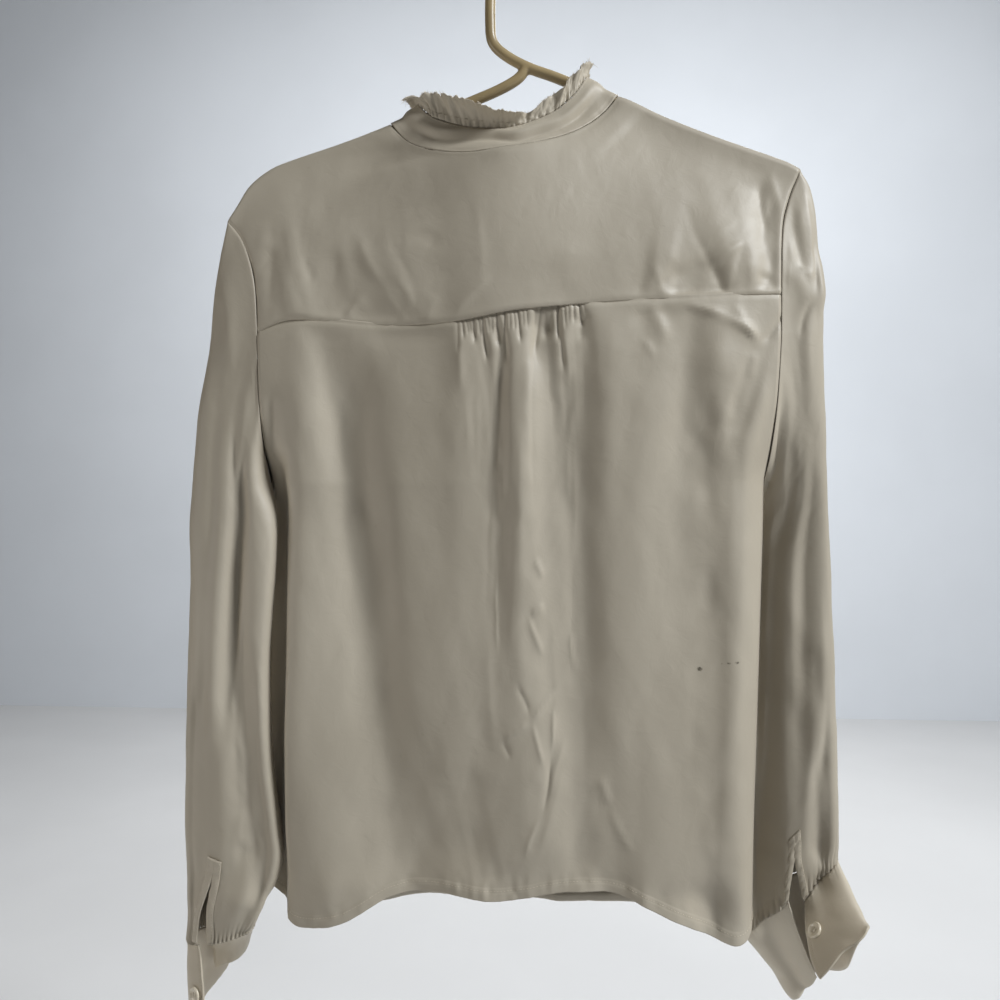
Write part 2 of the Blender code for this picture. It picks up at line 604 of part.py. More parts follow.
def make_back_panel(collection, material):
    """The back below the yoke: fine columns in the gathers, thinned out further down."""
    columns = [column for column in back_columns()[0] if column.use != CORNER]
    rows = len(PANEL_DROPS)
    bm = index_grid(len(columns) - 1, rows)
    last_row = {EVERYWHERE: rows, UPPER: MEDIUM_ROWS, GATHERED: FINE_ROWS}
    thin_columns(bm, lambda column, row: row < last_row[columns[column].use])

    def place(column, row):
        v = 1.0 if row == rows else PANEL_DROPS[row] / PANEL_DEEPEST
        edges = ((body_left_x, SEAM_LEFT_X, HEM_LEFT_X), (body_right_x, SEAM_RIGHT_X, HEM_RIGHT_X))
        x, y, z = panel_place(columns[column].share, v, BACK, yoke_seam_z, hem_back_z, edges)
        return x, y - gather_wave(x, yoke_seam_z(x) - z), z

    return cloth("back_panel", collection, material, bm, place)


def front_top_z(x):
    """The top line of the fronts: the forward shoulder seams and the neckline."""
    if STRAP_LEFT_X < x < STRAP_RIGHT_X:
        return neck_front_z(x)
    seam_z = forward_left_z if x < NECK_X else forward_right_z
    return seam_z(x) - SHOULDER_SEAM_GAP / 2


def centre_x(z):
    return mix(CENTRE_TOP_X, CENTRE_HEM_X, ease(-232.0, -763.0, z))


FRONT_SHARES = (0.0003, 0.03, 0.08, 0.15, 0.23, 0.32, 0.41, 0.50, 0.59, 0.69, 0.79, 0.89, 1.0)


def make_front(name, side, collection, material):
    """One front, from its armhole and side seam to the middle."""
    if side < 0:
        seam_x, strap_end, side_x, hem_x = FRONT_SEAM_LEFT_X, STRAP_LEFT_X, body_left_x, HEM_LEFT_X
    else:
        seam_x, strap_end, side_x, hem_x = FRONT_SEAM_RIGHT_X, STRAP_RIGHT_X, body_right_x, HEM_RIGHT_X
    corner = (strap_end - seam_x) / (CENTRE_TOP_X - seam_x)
    shares = [0.0, 0.015, 0.05] + steps(0.09, corner, 7) + steps(corner, 1.0, 6) + [1.0]
    if side > 0:
        shares = [1.0 - share for share in reversed(shares)]
    bm = index_grid(len(shares) - 1, len(FRONT_SHARES) - 1)
    half_gap = SEAM_GAP / 2

    def middle(z):
        return centre_x(z) + side * half_gap

    outer = (side_x, seam_x, hem_x)
    inner = (middle, CENTRE_TOP_X, CENTRE_HEM_X)
    edges = (outer, inner) if side < 0 else (inner, outer)

    def place(column, row):
        return panel_place(shares[column], FRONT_SHARES[row], FRONT, front_top_z, hem_front_z, edges)

    return cloth(name, collection, material, bm, place)


def band_place(u, v):
    """The button band, on the fronts and moved out from them."""
    z = mix(front_top_z(CENTRE_TOP_X) - 1.0, hem_front_z(CENTRE_HEM_X), v)
    x = centre_x(z) + (u - 0.5) * BAND_WIDTH
    return x, body_y(x, z, FRONT) + BAND_LIFT, z


def make_front_band(collection, material):
    bm = index_grid(4, len(FRONT_SHARES) - 1)
    return cloth("front_band", collection, material, bm,
                 lambda column, row: band_place(column / 4, FRONT_SHARES[row]), DOUBLED_WALL)


# ------------------------------------------------------------------------- sleeves and cuffs

def ring_point(sleeve, curves, around, z):
    """A point of the sleeve's hanging tube: around 0 outer fold, 0.25 back, 0.5 inner, 0.75 front."""
    outer, inner, outer_y, inner_y, half = (curve(z) for curve in curves)
    turn = 2.0 * math.pi * around
    along = (1.0 - math.cos(turn)) / 2.0
    depth = math.copysign(abs(math.sin(turn)) ** 0.75, math.sin(turn)) * half
    inward = 0.0
    for crease in sleeve.creases:
        path = mix(crease.top, crease.bottom, ease(crease.start, crease.end, z))
        reach = ease(crease.start, crease.start - CREASE_START_REACH, z)
        reach *= ease(crease.end, crease.end + CREASE_END_REACH, z)
        inward += crease.depth * reach * math.exp(-((around % 1.0 - path) / crease.width) ** 2)
    depth -= math.copysign(inward, math.sin(turn))
    return mix(outer, inner, along), mix(outer_y, inner_y, along) - depth


def make_sleeve_place(sleeve):
    """The sleeve as a function of place around and share down, from armhole to cuff seam."""
    columns = ("outer", "inner", "outer_y", "inner_y", "half")
    curves = [smooth_curve(sleeve.rings, "z", column) for column in columns]
    armhole_x = armhole_left_x if sleeve.side < 0 else armhole_right_x

    def place(around, v):
        turn = 2.0 * math.pi * around
        along = (1.0 - math.cos(turn)) / 2.0
        face = BACK if math.sin(turn) >= 0.0 else FRONT
        start_z = mix(sleeve.tip_z, UNDERARM_Z, along)
        start_x = armhole_x(start_z)
        start_y = body_y(start_x, start_z, face)
        beside = abs(around % 1.0 - 0.5)          # the way around from the underarm
        start_y = mix(start_y, sleeve.underarm_y, ease(0.05, 0.0, beside))
        rounding = UNDERARM_ROUND * abs(math.sin(turn)) ** 0.35 * ease(0.22, 0.06, beside)
        start_y -= math.copysign(rounding, math.sin(turn))
        start_x += sleeve.side * mix(ARMHOLE_OUT_TIP, ARMHOLE_OUT_UNDERARM, along)
        start_z += mix(ARMHOLE_UP_TIP, ARMHOLE_UP_UNDERARM, along)
        end_z = mix(sleeve.outer_seam_z, sleeve.inner_seam_z, along)
        end_z -= sleeve.seam_tilt * math.sin(turn)
        z = mix(start_z, end_z, v)
        settle = SETTLE_AT_FOLDS + SETTLE_AT_FACES * math.sin(turn) ** 2
        share = 1.0 - math.exp(-(start_z - z) / settle)
        x, y = ring_point(sleeve, curves, around, z)
        return mix(start_x, x, share), mix(start_y, y, share), z

    return place


SLEEVE_COLUMNS = 2 * CUFF_GATHERS
SLEEVE_SHARES = (0.0, 0.02, 0.055, 0.10, 0.17, 0.26, 0.37, 0.49, 0.61, 0.73, 0.83, 0.91, 0.96, 1.0)
SLEEVE_FINE_ROW = 11      # from here down every column is kept


def slit_around(sleeve, z):
    """Where around the ring the slit's line lies."""
    share = ease(sleeve.slit_top_z + 60.0, sleeve.inner_seam_z - 20.0, z)
    return mix(sleeve.slit_around, sleeve.slit_seam_around, share)


def slit_spread(sleeve, along_columns, z):
    """How far the slit's two edges are pulled apart: the first column one way, the last the other."""
    depth = ease(sleeve.open_from_z, sleeve.open_to_z, z) * sleeve.open_half
    first = math.exp(-along_columns / SLIT_PULL_SPAN)
    last = math.exp(-(1.0 - along_columns) / SLIT_PULL_SPAN)
    return -sleeve.side * depth * (first - last)


def sleeve_cloth_point(sleeve, place, u, v):
    """The sleeve's cloth at share u around from the slit and share v down, without gathers."""
    x, y, z = place(sleeve.slit_around + u, v)
    around = slit_around(sleeve, z) + u
    x, y, z = place(around, v)
    return Vector((x + slit_spread(sleeve, u, z), y, z))


def make_sleeve(name, sleeve, collection, material):
    place = make_sleeve_place(sleeve)
    rows = len(SLEEVE_SHARES) - 1
    bm = index_grid(SLEEVE_COLUMNS, rows)
    thin_columns(bm, lambda column, row: row >= SLEEVE_FINE_ROW or column % 2 == 0)

    def gathered(column, row):
        u = column / SLEEVE_COLUMNS
        v = SLEEVE_SHARES[row]
        point = sleeve_cloth_point(sleeve, place, u, v)
        rise = CUFF_GATHER_RISE * ease(SLEEVE_SHARES[SLEEVE_FINE_ROW], 1.0, v)
        rise *= ease(CUFF_GATHER_CLEAR, CUFF_GATHER_FULL, min(u, 1.0 - u))
        wave = rise * math.cos(2.0 * math.pi * CUFF_GATHERS * u)
        if rise:
            ahead = sleeve_cloth_point(sleeve, place, u + 0.004, v)
            behind = sleeve_cloth_point(sleeve, place, u - 0.004, v)
            tangent = (ahead - behind).normalized()
            point += Vector((tangent.y, -tangent.x, 0.0)) * wave
        return point

    return cloth(name, collection, material, bm, gathered)


def make_cuff_place(sleeve):
    """The cuff as a function of share u around from the slit and share v down from its seam."""
    place = make_sleeve_place(sleeve)
    names = ("upper_x", "upper_y", "upper_z", "lower_x", "lower_y", "lower_z")
    fall = [smooth_curve(sleeve.fall, "around", column) for column in names]

    def cuff(u, v):
        start = sleeve_cloth_point(sleeve, place, u, 1.0)
        upper = Vector([curve(u) for curve in fall[:3]]).normalized()
        lower = Vector([curve(u) for curve in fall[3:]]).normalized()
        down = CUFF_HEIGHT * v
        bend = CUFF_HEIGHT * v * v / 2
        return start + upper * (CUFF_SEAM_GAP + down - bend) + lower * bend

    return cuff


def make_cuff(name, sleeve, collection, material):
    cuff = make_cuff_place(sleeve)
    bm = index_grid(CUFF_COLUMNS, CUFF_ROWS)
    return cloth(name, collection, material, bm,
                 lambda column, row: cuff(column / CUFF_COLUMNS, row / CUFF_ROWS), DOUBLED_WALL)


def make_bindings(name, sleeve, collection, material):
    """The two bindings on the slit's edges, on the sleeve's own points and moved out."""
    place = make_sleeve_place(sleeve)
    seam_z = sleeve_cloth_point(sleeve, place, 0.0, 1.0).z
    armhole_z = sleeve_cloth_point(sleeve, place, 0.0, 0.0).z
    first_v = (armhole_z - sleeve.slit_top_z) / (armhole_z - seam_z)
    columns, rows = 2, 6

    for label, start, turn in (("inner", 0.0, 1.0), ("outer", 1.0, -1.0)):

        def binding_point(column, row, start=start, turn=turn):
            v = mix(first_v, 0.992, row / rows)
            edge = sleeve_cloth_point(sleeve, place, start, v)
            span = sleeve_cloth_point(sleeve, place, start + turn * BINDING_SPAN, v) - edge
            across = BINDING_SPAN * BINDING_WIDTH / span.length * column / columns
            u = start + turn * (0.004 + across)
            point = sleeve_cloth_point(sleeve, place, u, v)
            ahead = sleeve_cloth_point(sleeve, place, u + turn * 0.003, v)
            below = sleeve_cloth_point(sleeve, place, u, v + 0.004)
            normal = (ahead - point).cross(below - point).normalized()
            if normal.y > 0.0:
                normal.negate()
            return point + normal * BINDING_LIFT

        cloth(name + "_binding_" + label, collection, material, index_grid(columns, rows),
              binding_point)


# ------------------------------------------------------------------------- collar

Collar = namedtuple("Collar", "turn y z")
COLLAR_TOP = (                      # the band's upper edge, by the turn around the neck
    Collar(0.00, 0, -127), Collar(0.05, -8, -134), Collar(0.11, -12, -144), Collar(0.20, -15, -153.5),
    Collar(0.27, -16, -154), Collar(0.35, -14, -143), Collar(0.41, -12, -129),
    Collar(0.455, -8, -117), Collar(0.50, 0, -111), Collar(0.545, 9, -120), Collar(0.60, 15, -146),
    Collar(0.66, 22, -176), Collar(0.75, 28, -209), Collar(0.84, 23, -190), Collar(0.90, 15, -166),
    Collar(0.955, 9, -142), Collar(1.00, 0, -127),
)
COLLAR_TOP_X, COLLAR_TOP_HALF = -21.5, 65.5
FRONT_TURN = 0.75

collar_top_y = smooth_curve(COLLAR_TOP, "turn", "y")
collar_top_z = smooth_curve(COLLAR_TOP, "turn", "z")


def neck_seam(turn):
    """The neck seam: turn 0 at the left shoulder, 0.25 back, 0.5 right shoulder, 0.75 front."""
    angle = 2.0 * math.pi * turn
    middle = (NECK_LEFT_X + NECK_RIGHT_X) / 2
    x = middle - (NECK_RIGHT_X - NECK_LEFT_X) / 2 * math.cos(angle)
    if math.sin(angle) >= 0.0:
        z = neck_back_z(x)
        return Vector((x, body_y(x, z, BACK), z))
    z = neck_front_z(x)
    return Vector((x, body_y(x, z, FRONT), z))


def collar_edge(turn):
    angle = 2.0 * math.pi * turn
    x = COLLAR_TOP_X - COLLAR_TOP_HALF * math.cos(angle)
    return Vector((x, collar_top_y(turn), collar_top_z(turn)))


def collar_place(u, v):
    """The band collar: u once around from the middle of the front, v from its seam up."""
    turn = (FRONT_TURN + mix(0.0015, 0.9985, u)) % 1.0
    base, edge = neck_seam(turn), collar_edge(turn)
    rise = (edge - base).normalized()
    shoulder = abs(math.cos(2.0 * math.pi * turn)) ** COLLAR_SHOULDER_POWER
    return mix(base + rise * (COLLAR_SEAM_GAP + COLLAR_SHOULDER_LIFT * shoulder), edge, v)


def collar_share(u):
    """Sets the collar's columns closer together where it turns over the shoulders."""
    return u + COLLAR_CROWDING * math.sin(4.0 * math.pi * u) / (4.0 * math.pi)


def make_collar(collection, material):
    columns, rows = 48, 2
    bm = index_grid(columns, rows)
    return cloth("collar_band", collection, material, bm,
                 lambda column, row: collar_place(collar_share(column / columns), row / rows),
                 DOUBLED_WALL)


def ruffle_place(u, v):
    """The ruffle on the collar's edge, its waves growing from seam to raw edge."""
    turn = (FRONT_TURN + mix(0.004, 0.996, u)) % 1.0
    angle = 2.0 * math.pi * turn
    edge = collar_edge(turn)
    out = Vector((-math.cos(angle), -math.sin(angle), 0.0))
    side = abs(math.cos(angle)) ** RUFFLE_SIDE_POWER        # 1 where it turns over a shoulder
    wave = math.sin(2.0 * math.pi * RUFFLE_WAVES * u) * mix(RUFFLE_ROOT_RISE, RUFFLE_RISE, v)
    wave *= 1.0 - RUFFLE_CALM * side
    wave += RUFFLE_SWAY * v * math.sin(2.0 * math.pi * RUFFLE_SWAY_WAVES * u)
    swell = math.sin(2.0 * math.pi * RUFFLE_HEIGHT_WAVES * u + 1.0)
    height = RUFFLE_HEIGHT * (1.0 - RUFFLE_HEIGHT_SHARE + RUFFLE_HEIGHT_SHARE * swell)
    height *= 1.0 - side * (RUFFLE_LEFT_LOW if math.cos(angle) > 0.0 else RUFFLE_RIGHT_LOW)
    dip = math.exp(-((turn - RUFFLE_DIP_TURN) / RUFFLE_DIP_SPAN) ** 2)
    height *= 1.0 - RUFFLE_DIP_SHARE * dip
    return edge + out * (wave + RUFFLE_LEAN * v * v) + Vector((0.0, 0.0, RUFFLE_SEAM_GAP + height * v))


def make_ruffle(collection, material):
    columns, rows = 3 * RUFFLE_WAVES, 2
    bm = index_grid(columns, rows)
    return cloth("collar_ruffle", collection, material, bm,
                 lambda column, row: ruffle_place(column / columns, row / rows), RUFFLE_WALL)


# ------------------------------------------------------------------------- buttons

def make_button(name, centre, normal, radius, collection, material):
    """A plain round button that lies on a surface, its rim eased."""
    bm = bmesh.new()
    bmesh.ops.create_cone(bm, cap_ends=True, segments=12, radius1=radius * MM,
                          radius2=radius * MM, depth=BUTTON_THICK * MM)
    item = add_object(name, bm, collection, material)
    item.rotation_mode = "QUATERNION"
    item.rotation_quaternion = normal.to_track_quat("Z", "Y")
    item.location = centre * MM
    bevel = item.modifiers.new("rim", "BEVEL")
    bevel.width = 0.5 * MM
    bevel.segments = 1
    bevel.limit_method = "ANGLE"
    item.data.set_sharp_from_angle(angle=math.radians(40))
    return item


def seated(place, u, v, outward, rim_lift):
    """A button's centre and axis on a doubled cloth, clear of the cloth under its rim."""
    normal = surface_normal(place, u, v, 0.01)
    if normal.dot(outward) < 0.0:
        normal = -normal
    seat = DOUBLED_WALL / 2 + SEAM_GAP + BUTTON_THICK / 2 + rim_lift
    return Vector(place(u, v)) + normal * seat, normal


def make_buttons(collection, material):
    forward = Vector((0, 1, 0))
    top = band_place(0.5, 0.0)[2]
    low = band_place(0.5, 1.0)[2]
    for index in range(FRONT_BUTTONS):
        v = (FIRST_BUTTON_Z - BUTTON_PITCH * index - top) / (low - top)
        centre, normal = seated(band_place, 0.5, v, forward, BAND_RIM_LIFT)
        make_button("front_button_%d" % (index + 1), centre, normal, BUTTON_RADIUS,
                    collection, material)
    centre, normal = seated(collar_place, COLLAR_BUTTON_SHARE, 0.5, forward, COLLAR_RIM_LIFT)
    make_button("collar_button", centre, normal, BUTTON_RADIUS, collection, material)
    for name, sleeve in (("cuff_button_left", SLEEVE_LEFT), ("cuff_button_right", SLEEVE_RIGHT)):
        centre, normal = seated(make_cuff_place(sleeve), sleeve.button_around, sleeve.button_down,
                                Vector((0, -1, 0.4)), sleeve.button_lift)
        make_button(name, centre, normal, CUFF_BUTTON_RADIUS, collection, material)


# ------------------------------------------------------------------------- hanger

def arm_z(x):
    return shoulder_z(x) - RIDGE_RADIUS


def smooth_route(points, spacing):
    """Places every spacing along a smooth curve through hand-set points."""
    dense = []
    for index in range(len(points) - 1):
        before = points[max(index - 1, 0)]
        here, ahead = points[index], points[index + 1]
        after = points[min(index + 2, len(points) - 1)]
        for step in range(16):
            t = step / 16
            dense.append(0.5 * ((2 * here) + (ahead - before) * t
                                + (2 * before - 5 * here + 4 * ahead - after) * t * t
                                + (3 * here - before - 3 * ahead + after) * t ** 3))
    dense.append(points[-1])
    lengths = [0.0]
    for first, second in zip(dense, dense[1:]):
        lengths.append(lengths[-1] + (second - first).length)
    count = max(round(lengths[-1] / spacing), 2)
    route = []
    for index in range(count + 1):
        target = lengths[-1] * index / count
        at = min(max(bisect_right(lengths, target) - 1, 0), len(dense) - 2)
        share = (target - lengths[at]) / (lengths[at + 1] - lengths[at])
        route.append(mix(dense[at], dense[at + 1], share))
    return route


def make_tube(name, route, collection):
    """A tube along a route as a closed mesh, from a curve with filled caps."""
    curve = bpy.data.curves.new(name, "CURVE")
    curve.dimensions = "3D"
    curve.bevel_depth = TUBE_RADIUS * MM
    curve.bevel_resolution = 2
    curve.use_fill_caps = True
    spline = curve.splines.new("POLY")
    spline.points.add(len(route) - 1)
    for point, place in zip(spline.points, route):
        point.co = (*(place * MM), 1.0)
    drawn = bpy.data.objects.new(name + "_curve", curve)
    collection.objects.link(drawn)
    graph = bpy.context.evaluated_depsgraph_get()
    mesh = bpy.data.meshes.new_from_object(drawn.evaluated_get(graph))
    bpy.data.objects.remove(drawn, do_unlink=True)
    bm = bmesh.new()
    bm.from_mesh(mesh)
    bmesh.ops.remove_doubles(bm, verts=bm.verts, dist=0.00001)
    bmesh.ops.recalc_face_normals(bm, faces=bm.faces)
    bm.to_mesh(mesh)
    bm.free()
    mesh.name = name
    item = bpy.data.objects.new(name, mesh)
    collection.objects.link(item)
    return item


def make_hanger(collection, cutters, material):
    """Hook, stem and right arm in one run of tube, and the left arm branching from it."""
    crown_z = TUBE_RADIUS
    hook_z = crown_z - HOOK_RADIUS
    hook = []
    for step in range(15):
        turn = mix(HOOK_TIP_TURN, math.pi, step / 14)
        hook.append(Vector((HOOK_RADIUS * math.cos(turn), 0.0, hook_z + HOOK_RADIUS * math.sin(turn))))
    stem = [Vector((-HOOK_RADIUS, 0, z)) for z in (-45.0, -66.0)]
    bend = [Vector((-29.0, 0, -81.0)), Vector((-18.0, 0, -92.0)), Vector((0, 0, -102.0)),
            Vector((24.0, 0, -111.5))]
    right = [Vector((x, 0, arm_z(x))) for x in (72.0, 110.0, 150.0)]
    right.append(Vector((ARM_RIGHT_END_X, 0, arm_z(ARM_RIGHT_END_X) - 0.6)))
    main = make_tube("hanger", smooth_route(hook + stem + bend + right, TUBE_STEP), collection)

    left = [Vector((-3.0, 0, -101.5)), Vector((-9.0, 0, -109.5)), Vector((-23.0, 0, -117.5)),
            Vector((-44.0, 0, -126.0)), Vector((-80.0, 0, -139.4))]
    left += [Vector((x, 0, arm_z(x))) for x in (-118.0, -155.0)]
    left.append(Vector((ARM_LEFT_END_X, 0, arm_z(ARM_LEFT_END_X) - 0.6)))
    branch = make_tube("left_arm", smooth_route(left, TUBE_STEP), cutters)
    branch.hide_render = True
    branch.display_type = "WIRE"
    union = main.modifiers.new("left_arm", "BOOLEAN")
    union.operation = "UNION"
    union.solver = "EXACT"
    union.object = branch
    main.data.materials.append(material)
    main.data.shade_smooth()
    return main


# ------------------------------------------------------------------------- the whole

def main():
    clear_scene()
    blouse = make_collection("silk_blouse")
    cutters = make_collection("cutters")
    silk = make_material(SILK)
    plastic = make_material(HANGER_PLASTIC)
    shell = make_material(BUTTON_PLASTIC)

    make_yoke(blouse, silk)
    make_back_panel(blouse, silk)
    make_front("front_left", -1, blouse, silk)
    make_front("front_right", 1, blouse, silk)
    make_front_band(blouse, silk)
    make_collar(blouse, silk)
    make_ruffle(blouse, silk)
    for side, sleeve in (("left", SLEEVE_LEFT), ("right", SLEEVE_RIGHT)):
        make_sleeve("sleeve_" + side, sleeve, blouse, silk)
        make_bindings("sleeve_" + side, sleeve, blouse, silk)
        make_cuff("cuff_" + side, sleeve, blouse, silk)
    make_buttons(blouse, shell)
    make_hanger(blouse, cutters, plastic)


main()
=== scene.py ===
"""The cloth, stitching, buttons, hanger and stage of a silk blouse that hangs from its hook.

Each sewn piece is a fine sheet laid on the form of its own solid, with its creases, gathers,
hems and stitching. Forms are worked out in millimetres in the blouse's own frame:

    +X  towards the wearer's right hand
    +Y  towards the front of the blouse, so its back faces -Y
    +Z  up, from the inside of the hook's crown
"""

import math
from collections import namedtuple

import bmesh
import bpy
import numpy as np
from bpy.props import FloatProperty, FloatVectorProperty, IntProperty, PointerProperty
from bpy.types import Operator, Panel, PropertyGroup
from mathutils import Matrix, Vector


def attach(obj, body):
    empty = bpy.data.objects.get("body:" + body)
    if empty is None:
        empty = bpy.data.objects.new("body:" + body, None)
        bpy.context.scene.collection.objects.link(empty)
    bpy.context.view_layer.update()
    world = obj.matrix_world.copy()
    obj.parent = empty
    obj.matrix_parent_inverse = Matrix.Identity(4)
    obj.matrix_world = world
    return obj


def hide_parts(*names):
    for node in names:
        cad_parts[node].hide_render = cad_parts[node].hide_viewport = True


bl_info = {
    "name": "Silk blouse",
    "version": (1, 0, 0),
    "blender": (4, 5, 0),
    "location": "3D View > Sidebar > Blouse",
    "description": "Dresses a hanging silk blouse: cloth, creases, stitching, buttons and hanger",
    "category": "Object",
}

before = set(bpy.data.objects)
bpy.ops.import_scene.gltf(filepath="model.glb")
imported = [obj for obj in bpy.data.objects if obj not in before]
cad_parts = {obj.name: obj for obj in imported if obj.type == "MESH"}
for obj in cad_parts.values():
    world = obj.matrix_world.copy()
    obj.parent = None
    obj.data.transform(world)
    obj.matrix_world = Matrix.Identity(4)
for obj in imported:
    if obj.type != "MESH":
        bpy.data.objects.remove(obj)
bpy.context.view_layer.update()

MM = 0.001
TOUCHING = 0.00001  # metres between points that are one
BODY = "root"
BACK, FRONT = -1, 1
ROUND = 2.0 * np.pi

# ---------- the blouse's form, millimetres

TUBE_RADIUS = 4.3  # the hanger's tube
HOOK_RADIUS = 31.0  # centreline of the hook
HOOK_TIP_TURN = math.radians(-28)
ARM_LEFT_END_X = -201.0
ARM_RIGHT_END_X = 194.0
RIDGE_RADIUS = 5.9  # the cloth's turn over the hanger's arm

BACK_SPREAD = 30.0  # how far the back hangs out from the hanger's plane
FRONT_SPREAD = 28.0
SPREAD_DROP = 60.0  # the drop over which it gets there
NECK_SPREAD = 12.0  # the collar holds the neck open by this much more
NECK_X = -20.5
NECK_SPREAD_HALF = 62.0
NECK_SPREAD_FULL, NECK_SPREAD_FADE, NECK_SPREAD_END = 60.0, 90.0, 320.0  # drops

NECK_LEFT_X, NECK_RIGHT_X = -110.0, 69.0  # where the neck seam crosses the shoulders
STRAP_LEFT_X, STRAP_RIGHT_X = -101.5, 60.5  # the forward shoulder seams' ends at the neck
FRONT_SEAM_LEFT_X, FRONT_SEAM_RIGHT_X = -217.0, 192.5  # its ends at the armholes
TIP_LEFT_X, TIP_RIGHT_X = -240.0, 206.0  # tops of the armholes
TIP_LEFT_Z, TIP_RIGHT_Z = -216.0, -186.0
UNDERARM_Z = -425.0
UNDERARM_ROUND = 2.2  # keeps the sleeve's two faces apart beside the underarm
UNDERARM_FAR, UNDERARM_NEAR, UNDERARM_MEET = 0.22, 0.06, 0.05  # shares of the way around from it
ARCH_Z = -230.0  # the ridge's round form gives way to the body's arched one
CLOSING_Z = -330.0  # the body starts to close towards its side seams
FOLD_START_REACH, FOLD_END_REACH = 60.0, 80.0  # drops over which a fold comes and goes
FOLD_EDGE_SHARE = 1.4  # folds fade where the arch falls below 1 / this
SEAM_LEFT_X, SEAM_RIGHT_X = -209.0, 187.4  # ends of the back yoke's seam
HEM_LEFT_X, HEM_RIGHT_X = -211.0, 169.0
CENTRE_TOP_X, CENTRE_HEM_X = -20.5, -16.0  # the middle of the front
NECK_FRONT_LOW_Z, HEM_FRONT_LOW_Z = -232.0, -763.0

GATHER_LEFT_X, GATHER_RIGHT_X = -56.0, 43.0  # where the yoke's seam is gathered
PANEL_LENGTH, FRONT_LENGTH, SLEEVE_LENGTH = 450.0, 530.0, 560.0  # seam to hem or cuff, about
YOKE_LENGTH, YOKE_FORWARD = 128.0, 40.0  # ridge to back seam, and on over the front
YOKE_ACROSS = 430.0  # armhole to armhole

CLOTH = 0.5  # wall of the finished cloth
DOUBLED = 1.3  # collar, cuffs and front band
SEAM_GAP = 0.3  # between pieces that are sewn edge to edge
COLLAR_SEAM_GAP = 0.5
SHOULDER_SEAM_GAP = 0.4
CUFF_SEAM_GAP = 0.6
SIDE_SEAM_GAP = 1.3

BAND_WIDTH = 26.0  # button band
BAND_LIFT = 1.1  # out from the fronts
BUTTON_RADIUS, BUTTON_THICK = 5.6, 2.2
CUFF_BUTTON_RADIUS = 6.2
HOLE_REACH, HOLE_SIZE = 0.20, 0.095  # of a button's radius
FRONT_BUTTONS = 6
FIRST_BUTTON_Z, BUTTON_PITCH = -290.0, 82.0
COLLAR_BUTTON_SHARE = 0.014

CUFF_HEIGHT, CUFF_AROUND = 74.0, 220.0
CUFF_GATHERS = 46
CUFF_GATHER_RISE = 1.3  # on the sleeve's side of the seam
CUFF_GATHER_CLEAR, CUFF_GATHER_FULL = 0.015, 0.05  # shares from the slit without and with gathers
BINDING_WIDTH = 6.8
BINDING_LIFT = 1.0
BINDING_SPAN = 0.04  # the share around over which its width is measured
BINDING_WALL = 0.9
BINDING_THREAD = 0.5  # its stitches, out from the cloth below
SLIT_PULL_SPAN = 0.05
SLIT_SWING_RISE, SLIT_SWING_DROP = 60.0, 20.0  # it swings round from above its top to below the seam
RING_FLATNESS = 0.75  # the power that flattens a sleeve's faces

SETTLE_AT_FOLDS, SETTLE_AT_FACES = 12.0, 30.0  # over which a sleeve takes on its own form
ARMHOLE_OUT_TIP, ARMHOLE_OUT_UNDERARM = 0.25, 0.7
ARMHOLE_UP_TIP, ARMHOLE_UP_UNDERARM = -0.4, 0.4  # where it starts, from the armhole
CREASE_START_REACH, CREASE_END_REACH = 50.0, 60.0  # over which a sleeve's crease comes and goes

COLLAR_SHOULDER_LIFT, COLLAR_SHOULDER_POWER = 0.6, 12  # its seam's gap widens at the shoulders
RUFFLE_WAVES = 23
RUFFLE_GATHERS = 84  # where it is sewn to the collar
RUFFLE_TUCK = 0.6  # how far inside the collar's edge the ruffle is sewn
RUFFLE_TUCK_LENGTH = 14.0  # and how far down inside it
RUFFLE_AROUND = 430.0

FRONT_TURN = 0.75  # the middle of the front, by the turn around the neck
COLLAR_TOP_X, COLLAR_TOP_HALF = -21.5, 65.5
COLLAR_HEIGHT, COLLAR_AROUND, COLLAR_MIDDLE_AROUND = 36.0, 440.0, 420.0

HEM_WIDTH = 8.5  # the narrow doubled hem
HEM_STITCH = 7.3  # its stitches' distance from the edge
HEM_TURN = 0.9  # how far behind the cloth its turned-up inside lies
HEM_TURN_REACH = 1.2  # over which it gets there
HEM_THREAD, TOP_THREAD = 0.05, 0.04  # how proud of the cloth stitches lie
WELD = 0.03  # points of a sleeve that lie closer are joined
BROAD, BROAD_TIP, SHARP_TIP = 5.0, 2.0, 0.6  # how round the crest of a broad and a narrow crease is
HEM_FLARE = 16.0  # the height over which a hem's waves die away
EDGE_STITCH = 2.6  # topstitching from a cuff's edges
COLLAR_STITCHES = (0.055, 0.925)  # shares down the collar
BINDING_STITCHES = (0.84, 0.14)  # and across a slit's binding
BAND_STITCHES = (0.12, 0.88)  # and across the button band
FINE_SHARE, YOKE_SHARE = 1.3, 1.3  # how much of their tables' heights show

# Flat cuts, metres across and down.
YOKE_CUT, FRONT_CUT, BAND_CUT, SLEEVE_CUT = (0.46, 0.20), (0.235, 0.55), (0.026, 0.535), (0.24, 0.57)

# ---------- short tables

def rows(kind, entries):
    """A table's rows, with names for their columns."""
    return tuple(kind(*entry) for entry in entries)


Line = namedtuple("Line", "x z")

